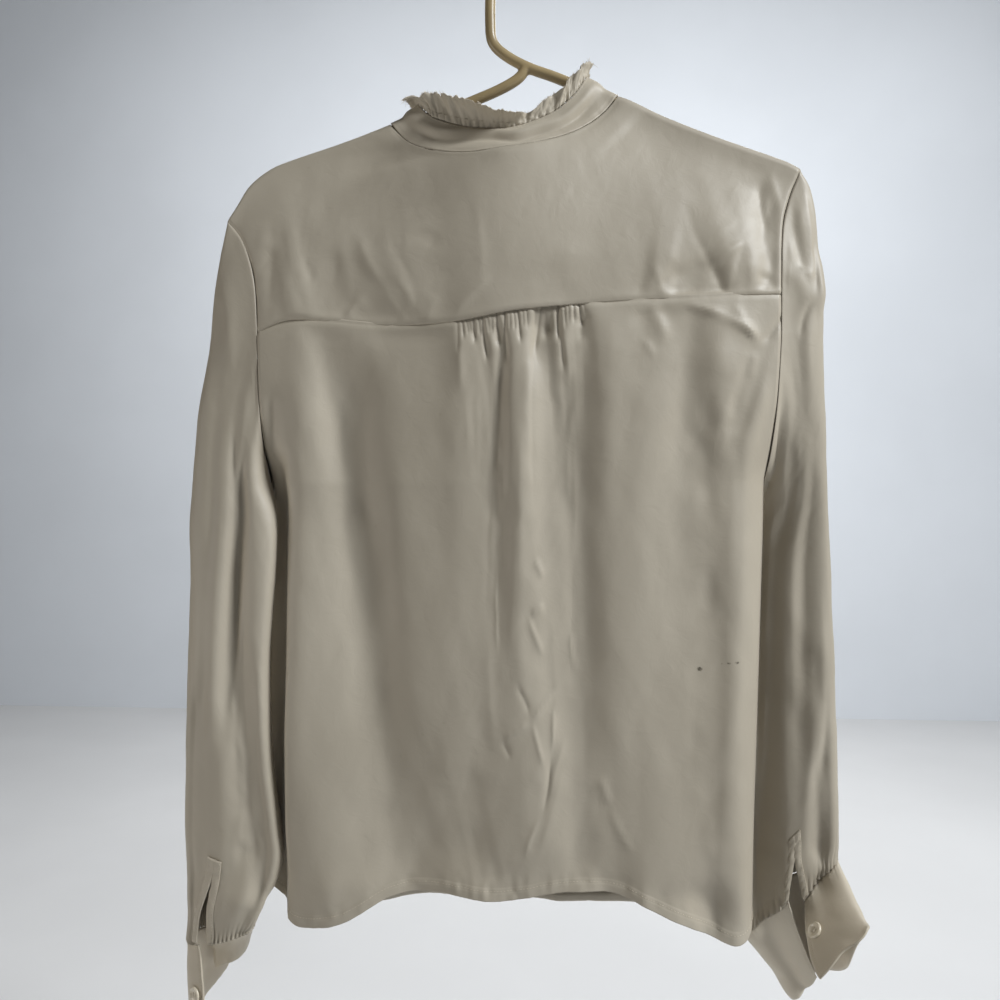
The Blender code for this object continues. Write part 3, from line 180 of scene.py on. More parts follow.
SHOULDER = rows(Line, (  # the ridge, with the dome it would have across the neck
    (-240, -216), (-233, -206), (-222, -189), (-205, -176), (-187, -169), (-150, -157.5),
    (-110, -143.5), (-70, -127), (-20, -113), (30, -115), (69, -126.5), (103, -143), (138, -158),
    (164, -168), (195, -180), (206, -186),
))
NECK_BACK = rows(Line, (
    (-110, -143.5), (-99, -156), (-87, -164.5), (-64, -173.5), (-42, -177), (-22, -175.5), (0, -172),
    (25, -164), (44, -153), (58, -140.5), (69, -126.5),
))
NECK_FRONT = rows(Line, (
    (-110, -143.5), (-108.5, -155), (-106, -165), (-101.5, -176), (-89, -198), (-64, -219),
    (-20.5, -232), (21, -218), (46, -190), (60.5, -160), (66, -146), (68, -137), (69, -126.5),
))
FORWARD_LEFT = rows(Line, (
    (-217, -252), (-200, -231), (-160, -203), (-101.5, -176),
))
FORWARD_RIGHT = rows(Line, (
    (60.5, -160), (120, -184), (165, -205), (192.5, -222),
))
YOKE_SEAM = rows(Line, (
    (-209, -309), (-184, -301), (-150, -303), (-111, -307), (-58, -306), (-8, -298), (60, -292),
    (135, -288), (187.4, -285),
))
HEM_BACK = rows(Line, (
    (-211, -742), (-193, -752), (-180, -762), (-167, -763), (-139, -756), (-106, -738), (-66, -732),
    (-20, -735), (29, -727), (69, -729), (106, -746), (148, -767), (162, -767), (169, -758),
))
HEM_FRONT = rows(Line, (
    (-211, -742), (-190, -758), (-150, -766), (-100, -765), (-16, -763), (60, -763), (110, -766),
    (150, -770), (162, -767), (169, -758),
))

Armhole = namedtuple("Armhole", "z left right")
ARMHOLE = rows(Armhole, (
    (-186, -240, 206), (-194, -240, 202.5), (-204, -240, 198), (-216, -240, 194),
    (-224, -233.5, 191.7), (-233, -226.5, 190), (-249, -218.5, 188.6), (-265, -213.5, 188),
    (-285, -210.6, 187.4), (-317, -208.8, 187), (-342, -208, 185.5), (-372, -207, 183.5),
    (-400, -205.6, 181), (-425, -204, 178.5),
))

Side = namedtuple("Side", "z left right left_y right_y")
SIDE_SEAMS = rows(Side, (
    (-425, -204, 178.5, 0, 0), (-434, -203.4, 178, 2, -1), (-452, -205, 177.4, 5, -3),
    (-490, -213, 176, 8, -5), (-600, -216, 172.5, 8, -6), (-700, -213, 169.5, 8, -6),
    (-790, -209, 168.6, 7, -5),
))

# A fold runs down from the yoke seam. Its places along X are given at the seam and the hem,
# start and end are drops below the seam, and a negative depth is a ridge.
Fold = namedtuple("Fold", "top hem width depth start end")
BACK_FOLDS = rows(Fold, (
    (-166, -168, 20, -5, 20, 520), (-136, -86, 21, 9, 5, 520), (-62, -52, 24, -4, 20, 520),
    (-20, -23, 6, 8, 0, 260), (2, 12, 10, -6, 0, 400), (24, 60, 13, 7, 10, 520),
    (86, 96, 22, -4, 40, 520), (138, 136, 13, 12, 40, 520), (160, 162, 11, -5, 60, 520),
))
FRONT_FOLDS = rows(Fold, (
    (-168, -160, 18, -5, 60, 560), (-122, -128, 17, 10, 30, 560), (-78, -84, 16, -4, 60, 560),
    (30, 24, 14, 6, 120, 560), (72, 84, 20, -5, 60, 560), (112, 122, 14, 10, 40, 560),
))

# Where a side of the body is pressed flat beside a sleeve: the share of its depth that goes.
Press = namedtuple("Press", "face from_x to_x share from_z to_z")
PRESSED = rows(Press, (
    (BACK, -184, -194, 0.86, -395, -446), (FRONT, 150, 168, 0.8, -395, -446),
))

# Rings of a sleeve, level cuts through its flattened tube from its outer to its inner fold.
Ring = namedtuple("Ring", "z outer inner outer_y inner_y half")
RINGS_LEFT = rows(Ring, (
    (-216, -240, -206, 0, 0, 12), (-227, -243.5, -206, 0, 0, 14), (-260, -248, -206, 0, 0, 16),
    (-330, -255, -206, 0, -2, 18), (-374, -260, -207.5, -1, -7, 18), (-405, -262.5, -206, -2, -11, 17),
    (-425, -264, -201, -2, -13.5, 17), (-440, -265, -197.5, -2, -15.5, 17),
    (-460, -267, -196, -3, -18, 16), (-480, -267.5, -196.5, -4, -19.5, 16),
    (-560, -270, -200.5, -5, -21, 16), (-640, -271.5, -197.5, -4, -21, 17),
    (-690, -272, -191.5, -4, -20, 17), (-712, -272, -190, -4, -20, 17),
    (-734, -272, -196, -3, -19, 16), (-756, -272, -210, -3, -17, 15),
    (-772, -271.5, -216, -3, -16, 12.5), (-800, -271, -218, -3, -15, 12),
))
RINGS_RIGHT = rows(Ring, (
    (-186, 206, 187, 0, 0, 9), (-195, 214, 187, 0, 0, 12), (-212, 216.5, 187, 0, 0, 14),
    (-239, 218, 186, 0, 1, 16), (-301, 221, 185, 1, 3, 18), (-389, 225, 184, 2, 10, 18),
    (-425, 226.5, 182.5, 3, 17, 16), (-442, 227, 179, 4, 21, 15), (-462, 228, 169, 4, 24.5, 14),
    (-490, 229, 160, 4, 25.5, 13.5), (-600, 233, 157, 4, 26, 13.5), (-680, 235, 158, 3, 25, 14),
    (-700, 235, 160, 3, 24, 14), (-714, 233, 160, 2, 23, 14), (-745, 232, 161, 1, 22, 14),
    (-774, 231, 164, 0, 20, 13.5),
))

# A crease of a sleeve, by its place around the ring: 0 outer fold, 0.25 back, 0.5 inner, 0.75 front.
Crease = namedtuple("Crease", "top bottom width depth start end")
CREASES_LEFT = rows(Crease, (
    (0.3, 0.262, 0.034, 9, -250, -640), (0.36, 0.38, 0.036, 5, -540, -800),
    (0.14, 0.12, 0.036, 4, -560, -800), (0.7, 0.72, 0.04, 8, -300, -800),
    (0.86, 0.84, 0.036, 5, -420, -800),
))
CREASES_RIGHT = rows(Crease, (
    (0.165, 0.15, 0.036, 6, -200, -330), (0.29, 0.33, 0.04, 6, -430, -800),
    (0.15, 0.14, 0.034, 5, -540, -800), (0.72, 0.7, 0.04, 7, -340, -800),
    (0.85, 0.83, 0.036, 5, -450, -800),
))

# How the cuff's cloth runs down from its seam: around 0 is the slit edge beside the inner fold.
Station = namedtuple("Station", "around upper_x upper_y upper_z lower_x lower_y lower_z")
CUFF_LEFT_FALL = rows(Station, (
    (0, -0.28, 0.93, -0.14, -0.02, 0.26, -0.96), (0.15, -0.3, 0.92, -0.2, -0.12, 0.45, -0.88),
    (0.31, -0.31, 0.84, -0.42, -0.32, 0.82, -0.48), (0.5, -0.31, 0.82, -0.48, -0.3, 0.77, -0.56),
    (0.6, -0.13, 0.68, -0.72, -0.12, 0.61, -0.78), (0.68, -0.06, 0.6, -0.8, -0.06, 0.5, -0.86),
    (0.81, -0.06, 0.34, -0.94, -0.04, 0.26, -0.96), (0.93, 0.05, 0, -1, 0.05, 0, -1),
    (1, 0.26, -0.12, -0.96, -0.06, -0.04, -0.99),
))
CUFF_RIGHT_FALL = rows(Station, (
    (0, 0.3, 0.16, -0.94, 0.4, 0.36, -0.84), (0.26, 0.58, 0.2, -0.79, 0.6, 0.24, -0.76),
    (0.51, 0.44, 0.08, -0.89, 0.42, 0, -0.9), (0.65, 0.32, -0.44, -0.84, 0.06, -0.92, -0.38),
    (0.77, 0.18, -0.66, -0.73, -0.04, -0.98, 0.16), (0.9, 0.08, -0.74, -0.67, -0.06, -1, 0.08),
    (1, -0.1, -0.6, -0.79, 0, -0.99, 0.04),
))

Sleeve = namedtuple(
    "Sleeve", "side rings creases tip_z underarm_y outer_seam_z inner_seam_z seam_tilt "
    "slit_around slit_seam_around slit_top_z open_from_z open_to_z open_half fall "
    "button_around button_down")
SLEEVE_LEFT = Sleeve(
    side=-1, rings=RINGS_LEFT, creases=CREASES_LEFT, tip_z=TIP_LEFT_Z, underarm_y=-2.6,
    outer_seam_z=-786.0, inner_seam_z=-771.0, seam_tilt=3.5,
    slit_around=0.225, slit_seam_around=0.190, slit_top_z=-716.0,
    open_from_z=-716.0, open_to_z=-790.0, open_half=4.4, fall=CUFF_LEFT_FALL,
    button_around=0.955, button_down=0.50)
SLEEVE_RIGHT = Sleeve(
    side=1, rings=RINGS_RIGHT, creases=CREASES_RIGHT, tip_z=TIP_RIGHT_Z, underarm_y=2.6,
    outer_seam_z=-712.0, inner_seam_z=-776.0, seam_tilt=4.0,
    slit_around=0.238, slit_seam_around=0.220, slit_top_z=-692.0,
    open_from_z=-706.0, open_to_z=-750.0, open_half=5.8, fall=CUFF_RIGHT_FALL,
    button_around=0.965, button_down=0.42)

Collar = namedtuple("Collar", "turn y z")
COLLAR_TOP = rows(Collar, (  # the band's upper edge, by the turn around the neck
    (0, 0, -127), (0.05, -8, -134), (0.11, -12, -144), (0.2, -15, -153.5), (0.27, -16, -154),
    (0.35, -14, -143), (0.41, -12, -129), (0.455, -8, -117), (0.5, 0, -111), (0.545, 9, -120),
    (0.6, 15, -146), (0.66, 22, -176), (0.75, 28, -209), (0.84, 23, -190), (0.9, 15, -166),
    (0.955, 9, -142), (1, 0, -127),
))

# The ruffle's height, its curl outwards in radians, and the height of its pleats.
Frill = namedtuple("Frill", "turn height curl wave")
FRILL = rows(Frill, (
    (0, 14, 2.3, 1.6), (0.045, 17, 2.4, 2), (0.085, 18, 1.4, 2.6), (0.115, 20, 0.6, 2.8),
    (0.143, 23, 1, 1.6), (0.175, 25, 1.3, 0.9), (0.207, 25, 1.6, 0.7), (0.245, 20, 2, 0.8),
    (0.273, 13, 1.6, 1.2), (0.3, 8, 0.5, 1.7), (0.335, 13, 0.3, 2.4), (0.362, 15, 0.6, 2.8),
    (0.398, 18, 0.3, 1.8), (0.44, 16, 0.3, 1.2), (0.48, 12, 0.5, 0.9), (0.52, 10, 0.7, 1.2),
    (0.6, 12, 0.5, 1.8), (0.7, 15, 0.4, 2), (0.8, 15, 0.5, 2), (0.9, 13, 0.7, 1.8),
    (0.96, 12, 1.2, 1.4), (1, 14, 2.3, 1.6),
))

# A crease runs from one X and Z to another, bowed sideways by a few millimetres. Its flanks have
# a width each, to its left and right. A negative height is a trough and a positive one a ridge.
Ruck = namedtuple("Ruck", "x0 z0 x1 z1 bow left right height")
BACK_CREASES = rows(Ruck, (
    (138, -615, 141, -310, 0, 6.9, 7.5, 3.4), (-98, -649, -100, -363, -1, 11.5, 9, 4),
    (141, -579, 139, -276, 0, 6.6, 6.4, 3.2), (-121, -486, -168, -320, 0, 7.6, 7.3, -3.7),
    (142, -591, 141, -288, -2, 6.5, 6.2, 3.1), (139, -774, 139, -469, 0, 6.1, 6, 3),
    (52, -750, 52, -447, -1, 7.6, 21.2, 3.7), (8, -554, 9, -255, 0, 6, 5.9, -2.9),
    (138, -760, 138, -460, 0, 5.9, 7.1, 2.9), (50, -652, 144, -651, -1, 33.9, 39.7, -4),
    (115, -615, 120, -314, 0, 19.9, 7, -3.5), (94, -650, 99, -370, -1, 8.4, 31.3, -4),
    (6, -576, 9, -274, 0, 5.2, 5.2, -2.6), (-195, -746, -181, -439, 3, 8.1, 7.8, 3.9),
    (-130, -591, -150, -315, -2, 8.1, 5.3, -2.6), (1, -782, -8, -461, 1, 13.3, 5.5, 2.8),
    (58, -767, 55, -467, -3, 6.6, 5, 2.5), (-5, -728, -9, -432, 0, 17.8, 6, 3),
    (15, -353, 43, -351, 2, 16.3, 21.3, 2.7), (160, -618, 119, -617, -1, 16.9, 32.4, 3.1),
    (-67, -563, -69, -265, 1, 17.1, 8.1, -3.2), (141, -790, 137, -489, -2, 8, 39.9, 3.7),
    (-151, -444, -155, -272, 0, 7.6, 6.8, -3.4), (-19, -565, -20, -264, 0, 5.9, 17.8, 2.7),
    (-215, -692, -118, -690, 5, 39.9, 39.4, 4), (-9, -621, -5, -324, 0, 18.1, 5.3, 2.6),
    (-17, -587, -19, -289, -1, 5.3, 15.9, 2.5), (-123, -736, -124, -437, 3, 8.8, 6.5, -2.5),
    (-21, -541, -15, -366, -4, 4.7, 4.7, 2.4), (8, -677, 15, -502, 2, 7.2, 28.6, -3.6),
    (-30, -545, -29, -378, 0, 4.4, 4.7, -2.2), (108, -437, 123, -264, 1, 6.1, 6.5, -3.1),
    (-129, -649, -126, -466, -1, 6.1, 6.7, -2.8), (-51, -733, -58, -632, 0, 16.2, 10.7, -4),
    (-177, -679, -180, -381, 1, 11.2, 5.6, 2.8), (-23, -654, -95, -639, 10, 11.4, 35.9, -3.8),
    (132, -511, 143, -332, -1, 5.9, 10.7, 3), (59, -456, 62, -275, 0, 5.1, 5.8, 2.4),
    (36, -537, 34, -356, 0, 4.8, 24.1, 2.4), (-4, -523, -7, -348, 0, 4.9, 6, 2.1),
    (44, -741, 33, -627, -2, 6.2, 9.3, -3.1), (-46, -385, -20, -383, -1, 12.8, 17.2, -2.2),
    (26, -323, 52, -321, 0, 9.7, 35.6, -2), (-150, -429, -185, -275, 3, 12, 5.2, 2.3),
    (-113, -510, -125, -327, 5, 6, 13.9, 2.4), (-26, -708, -90, -684, 1, 11.8, 19.1, -3.8),
    (-21, -543, -21, -380, 1, 3.3, 3.6, 1.7), (6, -649, 6, -479, 1, 5, 5.2, -1.9),
    (-149, -507, -164, -340, -6, 5.1, 34.9, -2.4), (-16, -565, -12, -397, 0, 3.5, 3.3, -1.6),
    (155, -688, 157, -494, 6, 20.3, 4.9, -2.4), (165, -384, 142, -377, 0, 6.4, 29.3, -2.9),
    (-196, -742, -193, -554, 0, 5.7, 23.5, 2.8), (37, -623, 38, -439, -6, 23.9, 4.8, -2.1),
    (-103, -732, -120, -655, 2, 10.9, 8, -3), (59, -627, 54, -458, 0, 5, 10.7, -2),
    (153, -523, 154, -339, 2, 4.7, 11.3, -1.9), (19, -665, 15, -503, 4, 4.7, 9.7, 1.8),
    (-106, -707, -115, -533, 0, 5.8, 5.4, -1.9), (-30, -395, -34, -290, 2, 6.4, 3.7, -1.8),
    (-204, -680, -207, -495, -3, 2.6, 3.2, -1.3), (139, -435, 137, -347, 2, 7, 5.8, 2.3),
    (43, -693, 32, -524, 3, 21, 4.6, -1.6), (125, -739, 155, -634, 0, 6.5, 5.7, 2.7),
    (103, -326, 86, -283, 1, 5, 4.3, 2.1), (64, -745, 64, -652, -6, 7.1, 5.1, 2.6),
    (120, -713, 167, -538, -4, 15.6, 6.9, 2.6), (142, -741, 146, -652, -10, 6.2, 11.8, 2.5),
    (37, -670, 33, -573, -1, 5, 7.9, -1.9), (162, -741, 162, -647, -2, 16, 5, -2.5),
    (180, -326, 112, -290, 4, 3, 9.2, 1.5), (36, -736, 51, -644, -5, 5.2, 12.2, -2.6),
    (81, -731, 139, -732, 1, 8.2, 8.4, -4), (-202, -628, -206, -499, -4, 5, 13.9, -2.5),
    (-172, -736, -99, -740, -6, 8.2, 38.7, 4), (-2, -361, 20, -278, 0, 5, 5.5, -2.5),
    (-50, -366, -51, -300, 0, 4, 3.6, 1.8), (5, -463, 7, -275, -3, 2.1, 7.1, -1.1),
    (4, -714, 30, -623, 1, 4.7, 15.8, 2.3), (-32, -482, -31, -311, 5, 15.7, 2.4, -1.2),
    (-128, -314, -38, -310, 0, 4.8, 8.5, -2.3), (159, -423, 176, -341, 2, 4.9, 4, 2),
    (-94, -758, -83, -568, -1, 6.3, 10.3, 1.7), (-22, -425, -17, -338, 0, 4.5, 3, 1.5),
    (-26, -382, -46, -284, 1, 4.2, 38.4, -1.6), (-25, -629, -30, -531, -1, 10.7, 4.4, 1.6),
    (135, -524, 124, -404, -2, 6.8, 34.7, 1.9), (-194, -413, -196, -348, -3, 3.9, 7.8, -1.9),
    (-156, -571, -128, -441, 8, 8.8, 6.1, -1.9), (-42, -720, -17, -714, 0, 39.7, 4.8, -1.3),
    (41, -324, 33, -294, 1, 3.7, 4, -1.9), (71, -305, 114, -298, -2, 3.7, 10.4, -1.9),
    (-37, -422, -40, -352, 1, 3.7, 3.1, 1.2), (-31, -311, -18, -307, 0, 3, 9, -1.5),
    (-106, -659, -81, -541, -1, 9.4, 5.1, 1.6), (-39, -700, 38, -682, 10, 23.4, 5.6, 1.5),
    (31, -449, 36, -354, -4, 3.4, 4, 1.1), (-140, -516, -150, -415, 6, 5.8, 5, -1.1),
    (132, -740, 156, -684, -4, 6.6, 5.5, 1.8), (-16, -342, -13, -288, -6, 3.6, 2.4, -1.2),
    (9, -343, 7, -297, -2, 2.6, 11.6, -1.3), (30, -362, 17, -294, 4, 4.5, 2.2, 0.8),
    (58, -380, 69, -304, 7, 6.4, 39.1, 1.2), (-194, -390, -201, -354, -1, 2.2, 6, -1.1),
    (16, -660, 28, -612, -1, 2.5, 7.6, 1.3), (141, -404, 149, -365, 2, 3.8, 2.5, 1.2),
))
# Sharp little creases low in the middle of the back and below the yoke's right corner.
FINE_CREASES = rows(Ruck, (
    (-10, -572, 2, -598, -1, 1.2, 1.6, -1.1), (-19, -614, 2, -601, 0, 1.6, 1.2, 1.1),
    (1, -601, 21, -579, 0, 1.6, 1.2, 1.2), (2, -600, 13, -638, 0, 1.2, 1.4, 0.9),
    (19, -590, 16, -626, -1, 1.3, 1.6, 0.9), (16, -624, 10, -673, -2, 1.4, 1.8, -1.1),
    (10, -670, -3, -704, 2, 1.5, 1.6, 0.8), (-19, -614, -12, -629, 0, 1.2, 1.6, -1),
    (0, -522, 13, -555, 1, 1.2, 1.6, 1), (2, -522, 13, -516, 0, 1.4, 1.4, 1.2),
    (4, -480, 11, -497, -1, 1.4, 1.8, 1), (51, -640, 60, -665, -1, 1.4, 2, 1.1),
    (59, -662, 79, -700, 2, 1.5, 1.8, 0.8), (32, -533, 38, -568, 3, 1.2, 1.6, 0.7),
    (-23, -483, -22, -556, 1, 1.2, 1.6, 0.6), (110, -294, 148, -303, -2, 1.4, 2.2, 1.2),
    (146, -302, 171, -325, -3, 1.4, 2.2, 1.4), (170, -325, 191, -294, 2, 1.6, 1.6, -1.3),
    (150, -290, 170, -323, 0, 1.4, 1.6, 0.9), (167, -327, 164, -351, 0, 1.4, 1.6, 0.7),
    (84, -318, 93, -334, 0, 1.2, 1.6, 0.8),
))
# Small creases of the gathers, which run out below the yoke seam.
PUCKERS = rows(Ruck, (
    (-52.5, -307, -51.7, -331, 0, 1.2, 1.2, -0.9), (-48.8, -307, -48, -320, 0, 1, 1, -1.3),
    (-45.8, -306, -44.2, -317, 0, 0.9, 0.9, -1.1), (-43.6, -306, -42, -317, 0, 0.9, 0.9, -0.9),
    (-40.6, -305, -39.8, -323, 0, 1.1, 1.1, -1.5), (-36.8, -305, -35.3, -317, 0, 0.9, 0.9, -1.1),
    (-33.8, -304, -30.8, -338, 0, 1.3, 1.3, -1.7), (-30.1, -304, -27.9, -317, 0, 0.9, 0.9, -0.9),
    (-27.1, -304, -26.4, -315, 0, 0.9, 0.9, -0.9), (-23.4, -303, -21.2, -326, 0, 1.6, 1.6, -2.3),
    (-17.4, -301, -15.2, -341, 0, 1.3, 1.3, -1.9), (-13.7, -301, -13, -314, 0, 0.9, 0.9, -0.9),
    (-10.7, -301, -9.3, -314, 0, 0.9, 0.9, -1.1), (-7.7, -301, -4.8, -324, 0, 1.2, 1.2, -1.7),
    (-4, -300, -3.3, -312, 0, 0.9, 0.9, -0.8), (-1, -299, -0.3, -312, 0, 0.9, 0.9, -0.9),
    (5.7, -298, 4.1, -312, 0, 1, 1, -1.1), (8.7, -298, 4.1, -331, 0, 1.6, 1.6, -1.9),
    (12.4, -297, 13.1, -322, 0, 3, 3, -2.5), (16.9, -296, 16, -317, 0, 2.2, 2.2, -1.7),
    (21.4, -295, 22, -323, 0, 1.3, 1.3, -2.3), (23.6, -309, 26.5, -346, 0, 1.8, 1.8, -1.7),
    (26.6, -295, 27.9, -313, 0, 1.1, 1.1, -1.3), (29.6, -295, 30.2, -309, 0, 0.9, 0.9, -0.9),
    (33.3, -295, 33.9, -308, 0, 0.9, 0.9, -1.1), (37.1, -294, 40.6, -312, 0, 1.3, 1.3, -2.1),
    (40.8, -294, 43.6, -309, 0, 1, 1, -0.9),
))
YOKE_CREASES = rows(Ruck, (
    (134, -266, 180, -253, 0, 13.5, 10.9, 3.7), (-86, -311, -111, -224, 0, 12.1, 12.2, 2.8),
    (178, -240, 176, -191, -1, 7.1, 2.5, -2), (-164, -320, -187, -231, 0, 17.8, 5.8, 1.9),
    (-179, -275, -136, -268, -1, 24.6, 11.2, -1.5), (111, -279, 83, -275, 2, 8.7, 19.3, 1.5),
    (-200, -298, -201, -210, 1, 3.6, 7.1, -1.1), (-82, -309, -152, -299, 2, 11, 8.6, -1.7),
    (174, -251, 186, -206, 0, 4.3, 6, -1.6), (123, -265, 165, -242, 1, 10, 3.4, 1.6),
    (-108, -279, -131, -236, -1, 4.3, 2.9, 0.9), (193, -266, 141, -246, 1, 9.2, 7.9, -1.3),
    (127, -285, 113, -262, 0, 5.4, 21.6, -1.6), (190, -236, 181, -183, 1, 2.3, 1.8, 0.7),
    (147, -293, 137, -265, 1, 2.4, 5.8, -1), (158, -309, 117, -230, 2, 3, 2, -0.5),
    (-111, -184, -115, -158, 0, 14.8, 11.2, -1.1), (-64, -306, -67, -254, 3, 8.2, 6.8, -1),
    (102, -291, 92, -262, -1, 2, 2.1, 0.7), (-79, -287, -103, -244, 0, 3.9, 3.2, -0.6),
    (-192, -301, -146, -217, 1, 6.9, 13.5, 1.2), (176, -330, 59, -271, -9, 18.1, 35.4, -2.2),
    (-92, -308, -75, -221, 0, 10, 37.9, 0.9), (-140, -303, -122, -284, -2, 1.8, 6.2, 1.2),
    (-166, -304, -121, -288, -5, 12.6, 3.8, -1), (183, -274, 168, -272, 0, 3.2, 2.6, -1),
    (27, -312, 16, -257, -1, 9.9, 11.4, -1.1), (96, -285, 108, -259, 1, 2.5, 7.5, -1),
    (-165, -302, -178, -253, -4, 3.3, 3.2, -0.6), (38, -293, 33, -240, -5, 5.5, 22, 0.8),
    (-103, -288, -91, -280, -2, 6.7, 34, -0.4), (33, -261, 125, -258, -2, 10.6, 38.2, 0.8),
    (149, -256, 138, -241, -2, 6, 7.3, -1.1), (130, -262, 114, -210, 1, 5.3, 3.2, -0.5),
    (150, -311, 164, -233, -4, 1.4, 28.1, -0.6), (-39, -180, 21, -156, 4, 8.9, 4.4, 2.4),
    (-82, -298, -93, -272, 3, 1.6, 10.5, -0.6), (134, -270, 151, -255, 0, 2, 6.4, -0.8),
    (-34, -290, -40, -212, 3, 4.3, 1.9, 0.4), (-76, -310, -66, -283, -2, 6.5, 4, 0.7),
    (-102, -169, -92, -146, 0, 39.5, 4.7, 0.7), (189, -276, 167, -277, -2, 3.7, 5.5, -0.9),
    (172, -213, 183, -184, 0, 37.3, 9.7, -0.4), (-58, -307, -25, -272, -2, 10.8, 1.7, 0.9),
    (-165, -275, -172, -251, 0, 2.6, 2.3, -0.6), (76, -273, 152, -212, 6, 14.5, 5.2, 0.9),
    (100, -283, 155, -279, 3, 2.9, 3.5, -0.6), (-101, -288, -139, -246, -2, 15.1, 1.7, -0.4),
    (-82, -243, -85, -216, 0, 20.6, 7.4, 0.6), (-213, -264, -204, -240, 5, 2.1, 10.3, -0.6),
    (-149, -272, -149, -247, 3, 4.7, 3.6, -0.6), (-191, -239, -176, -235, 1, 5.6, 13, 0.4),
    (162, -288, 161, -256, 3, 1.8, 2.7, 0.5), (-172, -229, -107, -155, -1, 7.1, 6.8, -0.9),
    (-159, -200, -37, -177, -11, 7, 4.8, -0.6), (-80, -289, -149, -215, -3, 3.3, 3.2, 0.2),
    (-73, -251, -67, -240, 0, 11.4, 3.5, -0.4), (-193, -243, -216, -240, 3, 3.4, 8.7, 0.5),
    (-57, -280, -56, -194, 6, 36.7, 37.8, 0.4), (5, -291, 65, -283, 0, 4.7, 2.3, 0.4),
    (78, -156, 58, -138, 1, 11.6, 11.5, 0.9), (-107, -248, -90, -246, 3, 15.7, 2.4, -0.4),
    (-189, -288, -176, -285, -1, 12.9, 8.7, 0.3), (179, -225, 176, -196, 0, 1.1, 1.4, 0.3),
))
FRONT_CREASES = rows(Ruck, (  # hidden side, after the back's own
    (-150, -300, -132, -372, 3, 3, 6.6, 2), (-172, -330, -168, -420, 2, 8.8, 4, -1.8),
    (-96, -262, -84, -322, -2, 2.6, 5.7, 1.5), (-84, -318, -101, -356, 2, 5.3, 2.4, -1.3),
    (-60, -430, -38, -470, 3, 2.6, 5.7, 1.3), (-118, -476, -96, -540, 4, 7.7, 3.5, 1.3),
    (-184, -540, -160, -606, 3, 3, 6.6, -1.1), (-74, -592, -52, -566, 2, 5.3, 2.4, 1.5),
    (-58, -640, -66, -716, 3, 3, 6.6, -1.3), (-140, -652, -128, -722, 2, 8.8, 4, 1.1),
    (34, -286, 46, -342, -3, 2.8, 6.2, 1.8), (46, -340, 30, -372, 2, 5.3, 2.4, -1.3),
    (96, -276, 122, -330, 4, 3.6, 7.9, -2), (140, -296, 154, -352, 2, 6.6, 3, 2),
    (70, -418, 94, -462, -4, 3, 6.6, 1.3), (118, -500, 136, -566, 3, 7.9, 3.6, 1.3),
    (40, -556, 62, -598, 2, 2.4, 5.3, -1.5), (62, -598, 44, -640, 2, 5.3, 2.4, 1.3),
    (92, -640, 84, -716, 3, 4, 8.8, -1.3), (138, -690, 146, -744, 2, 7, 3.2, 1.1),
))
SLEEVE_LEFT_CREASES = rows(Ruck, (
    (-233, -300, -228, -455, 0, 1.6, 2.4, -2.2), (-228, -440, -225, -575, 0, 1.8, 2.6, -1.9),
    (-240, -586, -240, -281, 1, 6.4, 6.2, -3.1), (-211, -763, -220, -459, -3, 8.2, 4.9, -2.4),
    (-259, -593, -233, -593, 1, 18.5, 17.9, -2.9), (-227, -511, -236, -225, 4, 4.7, 10.8, 2.4),
    (-254, -592, -209, -593, -2, 39.9, 14, -3.5), (-259, -729, -215, -727, 1, 22.9, 25.6, -2.9),
    (-228, -708, -202, -709, 0, 13.1, 7.2, -3.4), (-264, -775, -260, -598, 4, 4.9, 4.9, 2.5),
    (-200, -762, -229, -605, -3, 9.3, 5.2, -2.6), (-233, -542, -231, -343, -4, 7.1, 4.2, -2.1),
    (-224, -671, -212, -504, -4, 6.9, 5.9, -2.9), (-247, -592, -222, -594, 0, 38.8, 7.2, 2.7),
    (-196, -754, -251, -737, 1, 13.2, 8.1, 4), (-225, -456, -225, -291, 2, 5.5, 6.6, 2.6),
    (-217, -575, -219, -395, 1, 5.5, 4.8, -2.3), (-232, -515, -225, -343, -4, 7.3, 3.6, -1.8),
    (-263, -515, -255, -304, -3, 31.4, 11.3, 4), (-236, -444, -217, -334, 4, 4.8, 5.2, 2.4),
    (-232, -356, -242, -251, 3, 3.2, 3.9, 1.6), (-209, -647, -215, -551, 1, 4.5, 5.1, 2.1),
    (-256, -794, -230, -666, 0, 9.7, 4.9, 2.4), (-204, -725, -212, -619, -6, 8.9, 3.5, -1.8),
    (-202, -696, -210, -618, -2, 3.7, 3.5, 1.8), (-218, -650, -237, -546, -2, 31, 3.5, 1.8),
    (-231, -618, -211, -616, 2, 15.1, 12.7, -1.2), (-270, -803, -249, -700, 6, 4, 4.1, -2),
    (-229, -448, -205, -326, 3, 4.6, 4.6, -2.3), (-262, -799, -236, -697, -4, 39.1, 4.6, -2.3),
    (-224, -486, -226, -392, -2, 5.5, 3, 1.5), (-218, -710, -218, -673, -4, 3.8, 6.2, 1.9),
    (-226, -780, -212, -734, 0, 5, 30.8, 2.5),
))
